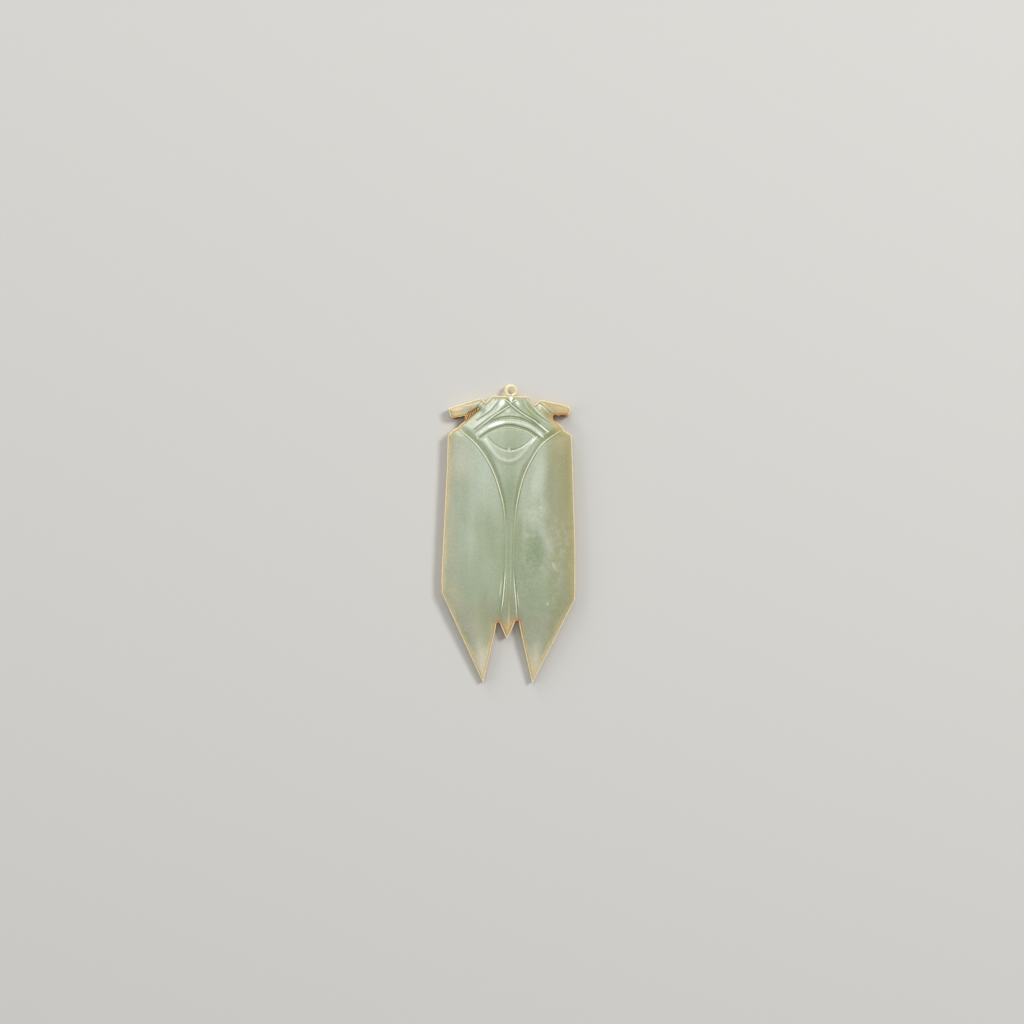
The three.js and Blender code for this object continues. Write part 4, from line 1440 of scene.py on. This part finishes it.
@dataclass(frozen=True)
class JadeFinish:
    """Polished pale jade, honey-coloured towards its edge, cloudy on the right wing, with painted
    shade in its cuts and painted highlights and sheen.
    """

    body: tuple = colour(170, 177, 152)
    green: tuple = colour(144, 157, 124)
    deep: tuple = colour(134, 148, 112)
    pale: tuple = colour(184, 195, 178)
    olive: tuple = colour(154, 149, 104)
    honey: tuple = colour(204, 180, 118)
    amber: tuple = colour(226, 184, 128)
    glow: tuple = colour(208, 197, 171)
    cloud: tuple = colour(204, 207, 194)
    grey: tuple = colour(178, 176, 156)
    # colour of the painted shade in the cuts
    groove: tuple = colour(116, 127, 66)
    # colours of painted highlights and sheen: this one, ivory lower on the body, and white where
    # brightest
    worn: tuple = colour(232, 238, 226)
    ivory: tuple = colour(240, 236, 204)
    white: tuple = colour(255, 255, 250)
    moss: tuple = colour(142, 148, 96)
    umber: tuple = colour(176, 162, 122)
    # colour of painted light along the lower edges of the eyes
    bright_gold: tuple = colour(255, 224, 160)
    straw: tuple = colour(234, 212, 160)
    rust: tuple = colour(202, 124, 58)
    ochre: tuple = colour(212, 168, 104)
    mist: tuple = colour(152, 160, 139)
    dusk: tuple = colour(158, 155, 134)
    roughness: float = 0.27
    subsurface: float = 0.35
    scatter: float = 0.0014
    patches: tuple[tuple, ...] = (  # the single clouds and spots, in the order of painting; some are painted sheen, highlights, light and shade, as marked
        # painted sheen: the first pale patch, on the upper inner part of the left wing
        (pale, 0.8, -5.2, 12.5, 3.2, 9.5, -0.18), (pale, 0.5, -8.0, -1.5, 3.4, 9.0),
        # painted sheen: the second cloud patch, along the band on the right wing
        (cloud, 0.3, -8.5, 14.0, 3.2, 7.0), (cloud, 0.6, 5.7, 11.0, 2.4, 9.5, 0.2, 0.35),
        (cloud, 0.45, 5.0, 3.6, 3.0, 3.4, 0.0, 0.6), (green, 0.85, 0.1, 8.0, 3.2, 9.0, 0.0, 0.2),
        (green, 0.8, 0.2, -4.5, 4.6, 13.5, 0.0, 0.25),
        (olive, 0.45, 0.3, -15.0, 1.8, 7.0, 0.0, 0.25),
        (green, 0.6, -3.4, -1.0, 2.0, 8.0, 0.0, 0.25), (deep, 0.9, 5.8, -3.4, 3.0, 6.3, 0.1, 0.7),
        (green, 0.4, 8.0, -12.0, 7.0, 12.0, 0.0, 0.4),
        (cloud, 0.35, 8.0, -1.6, 1.7, 5.6, -0.25, 0.6), (cloud, 0.7, 9.37, -6.6, 0.5, 1.4, -0.45),
        (worn, 0.6, 6.44, 5.44, 0.35, 0.35, 0.0, 0.2),
        (worn, 0.5, 8.2, -14.4, 0.4, 0.5, 0.0, 0.2),
        # painted highlights: white on the small wedge and facets beside the ring
        (white, 0.9, -1.65, 27.2, 0.9, 1.4, 0.6, 0.1),
        (white, 0.9, -1.5, 27.3, 0.6, 0.9, 0.6, 0.1),
        (white, 0.7, 1.5, 27.2, 0.5, 1.3, -0.6, 0.1),
        # painted highlight: the first spot, below the crossing of the collar lines
        (worn, 0.5, -0.55, 25.5, 1.1, 0.8, 0.0, 0.2), (pale, 0.1, -0.6, 20.0, 3.6, 2.0),
        # painted shade: this green patch and the first moss patch below darken the plate right of
        # the collar
        (green, 1.0, 5.0, 25.2, 1.7, 4.4, -0.72, 0.2),
        (moss, 0.6, 4.6, 25.0, 1.6, 4.2, -0.72, 0.2), (moss, 0.6, 8.1, 20.7, 1.2, 3.4, 0.99, 0.2),
        (glow, 0.3, 11.3, 19.8, 3.0, 4.5), (glow, 0.4, -11.0, 14.2, 2.6, 7.0),
        (cloud, 0.4, -10.4, 15.4, 3.2, 5.6), (pale, 0.5, -6.6, 7.0, 3.6, 6.5),
        (deep, 0.5, 4.2, -7.0, 3.8, 10.0, 0.0, 0.4), (glow, 0.5, -11.2, -13.5, 3.0, 6.5, -0.2),
        (pale, 0.4, 3.2, -16.5, 1.6, 3.5), (amber, 0.7, 0.1, -19.6, 1.4, 3.0),
        (amber, 0.4, -2.1, -17.7, 1.1, 1.3), (amber, 0.45, 1.9, -17.4, 1.1, 1.3),
        (umber, 0.3, -5.0, -18.5, 7.0, 8.0), (umber, 0.2, 3.0, -18.5, 5.0, 8.0),
        (mist, 0.5, 9.0, 6.0, 2.2, 14.0), (cloud, 0.3, 6.9, 5.6, 1.9, 2.8),
        (moss, 0.35, 2.1, 0.0, 1.4, 5.5, 0.0, 0.2), (mist, 0.35, 11.4, -10.5, 1.8, 6.5),
        (glow, 0.35, -12.3, 2.0, 1.6, 20.0), (umber, 1.0, 7.4, 25.8, 1.9, 3.2, -0.72, 0.2),
        (moss, 0.6, 7.5, 25.9, 1.8, 3.0, -0.72, 0.2),
        (umber, 0.85, 9.4, 26.9, 5.6, 2.4, 0.15, 0.2),
        (umber, 0.5, -8.6, 27.0, 4.8, 1.9, -0.3, 0.2),
        (grey, 0.6, -8.2, 27.1, 4.4, 1.6, -0.3, 0.2),
        # painted light: bright gold along the lower edges of the eyes, where their slopes face away
        # from the key light
        (bright_gold, 0.9, -11.3, 24.5, 3.0, 0.7, -0.22, 0.2),
        (bright_gold, 0.5, 11.0, 25.3, 2.6, 0.6, 0.0, 0.2), (rust, 1.0, 10.7, 24.75, 2.6, 0.85),
        (umber, 0.5, 8.7, 27.6, 3.6, 0.7, 0.21, 0.2), (rust, 0.55, 8.8, 24.2, 1.1, 1.2, 0.0, 0.4),
        (moss, 0.9, 11.3, 20.8, 1.8, 1.4), (dusk, 0.8, -9.5, 27.2, 4.8, 1.0, -0.31, 0.2),
        (moss, 0.6, -10.0, 20.7, 3.0, 1.1), (moss, 0.6, 9.7, 20.6, 1.4, 1.2),
        (glow, 0.35, -11.3, 18.9, 1.2, 1.6), (amber, 0.25, 10.5, 26.3, 3.6, 1.6, 0.1, 0.5),
        (olive, 0.4, 7.2, 25.9, 1.8, 2.6, -0.72, 0.2),
        (amber, 0.7, 12.3, 25.8, 3.2, 1.9, 0.0, 0.5),
        (amber, 0.7, -11.6, 26.3, 2.6, 1.7, -0.3, 0.5),
        (amber, 0.8, 9.6, 22.6, 1.0, 2.6, -0.68, 0.4),
        (amber, 0.8, -10.4, 22.2, 0.8, 2.2, 0.68, 0.4),
        (amber, 0.8, -1.8, 28.35, 1.1, 0.4, 0.0, 0.4),
        (amber, 0.8, 2.4, 28.3, 1.0, 0.4, 0.0, 0.4),
        (grey, 0.7, -8.6, -19.5, 3.4, 6.0, -0.5, 0.4), (dusk, 0.5, 6.6, -20.5, 4.6, 7.0, 0.3),
        (grey, 0.3, -6.6, -20.5, 4.6, 7.0, -0.3), (olive, 0.5, -9.0, -21.5, 1.4, 2.6, -0.45, 0.4),
        (glow, 0.9, -5.6, -26.0, 2.4, 6.0), (cloud, 0.6, -5.0, -26.5, 1.4, 5.0, 0.15),
        (glow, 0.9, 5.8, -26.5, 2.0, 5.5),
    )

    def make(self, effects: SharedEffects) -> Material:
        """Build the material.

        Args:
            effects: Shared node groups.

        Returns:
            The jade material.
        """
        work = Paintwork("polished_jade", effects)
        tree = work.tree
        split = tree.add("SeparateXYZ", Vector=work.place).outputs
        x, y = split["X"], split["Y"]
        streaks = work.grain((0.42, 0.05, 0.1), 2.0, 0.35, 0.68)
        clouds = work.grain((0.16, 0.12, 0.1), 4.0, 0.35, 0.7)
        mottle = work.grain((0.7, 0.55, 0.5), 5.0, 0.42, 0.66)
        sugar = work.grain((1.5, 1.2, 1.0), 4.0, 0.5, 0.68)
        speckle = work.grain((2.6, 2.2, 2.0), 5.0, 0.3, 0.75)
        # olive tone on the right wing's outer slope, with painted shade from where the slope turns
        # away
        outer_right = tree.times(tree.ramp(x, 6.6, 9.2), tree.ramp(y, 24.0, 20.0))
        right_low = tree.times(tree.ramp(x, 0.0, 5.0), tree.ramp(y, 8.0, -2.0))
        low = tree.times(tree.ramp(y, 4.0, -14.0), tree.ramp(y, -30.0, -18.0))
        patches = [Patch(*row) for row in self.patches]
        layers = (
            (streaks, 0.6, self.green),
            (clouds, 0.35, self.pale),
            (outer_right, 0.72, self.olive),
            (mottle, tree.total(0.045, (0.24, right_low)), self.cloud),
            (sugar, tree.times(right_low, 0.3), self.cloud),
            (low, 0.32, self.green),
            *((work.patch(patch), patch.strength, patch.paint) for patch in patches),
        )
        tint: object = self.body
        for mask, strength, paint in layers:
            tint = tree.mix(tree.times(mask, strength), tint, paint)
        tint = self._edges(work, x, y, tint)
        # painted shade in the cuts and on the slopes beside the wing edges
        dark = tree.math("MULTIPLY", tree.attribute("dark"), 0.6, clamp=True)
        tint = tree.mix(dark, tint, self.groove)
        tint = tree.mix(tree.times(speckle, 0.02), tint, self.cloud)
        # painted highlights: paler along the carved lines' crests, white where strongest, as on the
        # facet under the ring and in the drilled pit
        pale = tree.attribute("pale")
        worn = tree.mix(tree.ramp(y, 17.0, 11.0), self.worn, self.ivory)
        tint = tree.mix(tree.math("MULTIPLY", pale, 0.75, clamp=True), tint, worn)
        tint = tree.mix(tree.ramp(pale, 0.9, 1.6), tint, self.white)
        bump = tree.add("Bump", Height=speckle, Strength=0.02, Distance=0.0002)
        return work.finish(
            Base_Color=tint,
            Roughness=tree.total(self.roughness - 0.03, (0.06, speckle)),
            IOR=1.61,
            Subsurface_Weight=self.subsurface,
            Subsurface_Radius=(1.0, 0.85, 0.55),
            Subsurface_Scale=self.scatter,
            Coat_Weight=0.5,
            Coat_Roughness=0.1,
            Normal=bump.outputs[0],
        )

    def _edges(self, work: Paintwork, x: object, y: object, tint: object) -> object:
        """Tint the stone honey-coloured near its edge, further in at the wing tips and eyes."""
        tree = work.tree
        uneven = work.grain((0.5, 0.35, 0.4), 4.0, 0.3, 0.7)
        tips, upper = tree.ramp(y, -22.0, -30.5), tree.ramp(y, 24.2, 25.8)
        sideways, right = tree.math("ABSOLUTE", x), tree.ramp(x, 6.0, 12.0)
        eyes = tree.times(upper, tree.ramp(sideways, 6.2, 7.8))
        head = tree.times(upper, tree.ramp(sideways, 7.8, 6.2))
        places = ((0.1, tips), (1.2, eyes), (0.4, right), (-0.35, head))
        reach = tree.total(0.6, (0.7, uneven), *places)
        distance = tree.math("DIVIDE", tree.attribute("edge"), reach)
        left = tree.times(tree.ramp(x, 3.0, -3.0), tree.ramp(y, 20.4, 18.4))
        lit = tree.math("MAXIMUM", left, tree.ramp(y, -12.0, -18.0))
        warm = tree.math("MAXIMUM", tree.times(tips, 0.5), eyes)
        notch = tree.times(tree.ramp(sideways, 4.4, 2.8), tree.ramp(y, -13.0, -15.5))
        paint: object = self.honey
        shares = ((lit, self.straw), (warm, self.amber), (head, self.umber), (notch, self.ochre))
        for share, other in shares:
            paint = tree.mix(share, paint, other)
        close = tree.math("POWER", tree.ramp(distance, 1.0, 0.0), 1.5)
        strength = tree.total(0.8, (-0.15, right), (-0.5, eyes), (-0.1, tips))
        tint = tree.mix(tree.times(close, strength), tint, paint)
        strength = tree.total(0.12, (0.38, right), (-0.1, tips), (-0.1, eyes))
        wide = tree.ramp(distance, 3.4, 0.0)
        return tree.mix(tree.times(wide, strength), tint, self.olive)


@dataclass(frozen=True)
class GoldFinish:
    """Hand-worked gold: softly polished, with painted shade, orange to dark brown, near crevices and
    between pleats, and painted sheen, paler and less metallic, on the wall's top, the pleats' crests
    and the ring.
    """

    name: str
    bright: tuple = colour(255, 230, 168)
    warm: tuple = colour(242, 200, 124)
    # colour of the painted sheen
    cream: tuple = colour(252, 243, 206)
    # orange and brown are the colours of the painted shade; orange also gives the slight golden tint
    # towards the tail
    orange: tuple = colour(255, 176, 100)
    brown: tuple = colour(92, 44, 18)
    roughness: float = 0.34
    metallic: float = 0.95
    # how much less metallic the painted sheen makes the gold
    metallic_lost: float = 0.6
    bump: float = 0.2

    def make(self, effects: SharedEffects) -> Material:
        """Build the material.

        Args:
            effects: Shared node groups.

        Returns:
            The gold material.
        """
        work = Paintwork(self.name, effects)
        tree = work.tree
        wear_and_sheen = work.grain((0.5, 0.5, 0.8), 4.0, 0.32, 0.68)
        fine = work.grain((3.2, 3.2, 3.2), 3.0, 0.25, 0.8)
        worn, deep = tree.attribute("worn"), tree.attribute("deep")
        tint = tree.mix(tree.times(wear_and_sheen, 0.5), self.bright, self.warm)
        # painted sheen: paler cream here, and less metallic below
        tint = tree.mix(tree.math("MULTIPLY", worn, 0.8, clamp=True), tint, self.cream)
        # painted shade: orange, then dark brown where it is deepest
        tint = tree.mix(tree.ramp(deep, 0.05, 0.4), tint, self.orange)
        tint = tree.mix(tree.ramp(deep, 0.5, 0.95), tint, self.brown)
        bump = tree.add("Bump", Height=fine, Strength=self.bump, Distance=0.0002)
        return work.finish(
            Base_Color=tint,
            Metallic=tree.total(self.metallic, (-self.metallic_lost, worn)),
            Roughness=tree.total(self.roughness, (0.16, fine)),
            Normal=bump.outputs[0],
        )


# Studio


@dataclass(frozen=True)
class Light:
    """Square soft light that faces the pendant: metres and watts."""

    name: str
    place: tuple[float, float, float]
    size: float
    power: float
    shines: bool = False  # whether polished surfaces reflect it

    def hang(self) -> None:
        """Put the light into the scene."""
        data = bpy.data.lights.new(self.name, "AREA")
        data.energy, data.size = self.power, self.size
        light = bpy.data.objects.new(self.name, data)
        light.location = self.place
        light.visible_glossy = self.shines
        light.rotation_euler = (-Vector(self.place)).to_track_quat("-Z", "Y").to_euler()
        bpy.context.scene.collection.objects.link(light)


@dataclass
class Studio:
    """Pale floor, soft lights and the camera above the pendant."""

    floor_half: float = 1.5
    view_width: float = 0.2137
    camera_height: float = 0.3
    aim: tuple[float, float, float] = (0.00062, 0.00449, 0.002)
    roll: float = 0.0093
    lights: tuple[Light, ...] = (
        Light("key_right", (0.5, 0.3, 0.72), 0.25, 5.0),
        Light("window_left", (-0.43, 0.8, 0.4), 0.42, 2.3, True),
        Light("window_top", (-0.04, 0.6, 0.8), 0.35, 1.4, True),
        Light("overhead", (0.0, 0.0, 1.1), 0.6, 1.6),
        Light("fill_left", (-0.7, 0.0, 0.5), 0.5, 1.2),
    )

    def floor(self) -> None:
        """Lay the floor under the pendant."""
        half = self.floor_half
        mesh = bpy.data.meshes.new("floor")
        corners = [(-half, -half, 0), (half, -half, 0), (half, half, 0), (-half, half, 0)]
        mesh.from_pydata(corners, [], [(0, 1, 2, 3)])
        floor = bpy.data.objects.new("floor", mesh)
        bpy.context.scene.collection.objects.link(floor)
        material = bpy.data.materials.new("pale_floor")
        material.use_nodes = True
        shader = material.node_tree.nodes["Principled BSDF"]
        shader.inputs["Base Color"].default_value = colour(198, 197, 193)
        shader.inputs["Roughness"].default_value = 0.85
        mesh.materials.append(material)

    def camera(self) -> None:
        """Put the camera straight above, at the angle of the photograph."""
        data = bpy.data.cameras.new("camera")
        data.sensor_width = 36.0
        data.lens = data.sensor_width * self.camera_height / self.view_width
        data.clip_start = 0.01
        camera = bpy.data.objects.new("camera", data)
        camera.location = Vector(self.aim) + Vector((0, 0, self.camera_height))
        camera.rotation_euler = (0, 0, self.roll)
        bpy.context.scene.collection.objects.link(camera)
        bpy.context.scene.camera = camera

    def build(self) -> None:
        """Make the floor, the lights, the surroundings and the camera."""
        self.floor()
        for light in self.lights:
            light.hang()
        world = bpy.data.worlds.new("surroundings")
        world.use_nodes = True
        background = world.node_tree.nodes["Background"]
        background.inputs["Color"].default_value = (1.0, 1.0, 1.0, 1.0)
        background.inputs["Strength"].default_value = 0.3
        bpy.context.scene.world = world
        bpy.context.scene.view_settings.view_transform = "Standard"
        self.camera()


def dress(piece: Piece, material: Material) -> None:
    """Give a piece its material and report it."""
    piece.data.materials.append(material)
    LOG.info("%s: %d faces, %s", piece.name, len(piece.data.polygons), material.name)


def main() -> None:
    """Build the pendant piece by piece, then the studio."""
    logging.basicConfig(level=logging.INFO, format="%(name)s: %(message)s")
    mount = Outline.of_mount()
    own = mount.loop(mount.steps(GoldMount.spacing, GoldMount.chord_error))
    placement = Placement(own.min(0), own.max(0))
    effects = SharedEffects.make()
    dress(Stone(mount, placement).build(), JadeFinish().make(effects))
    gold = GoldMount(mount, placement)
    dress(gold.wall(), GoldFinish("wall_gold").make(effects))
    dress(gold.plate(), GoldFinish("plate_gold", roughness=0.38).make(effects))
    dress(gold.ring(), GoldFinish("ring_gold", roughness=0.32).make(effects))
    Studio().build()


if __name__ == "__main__":
    main()
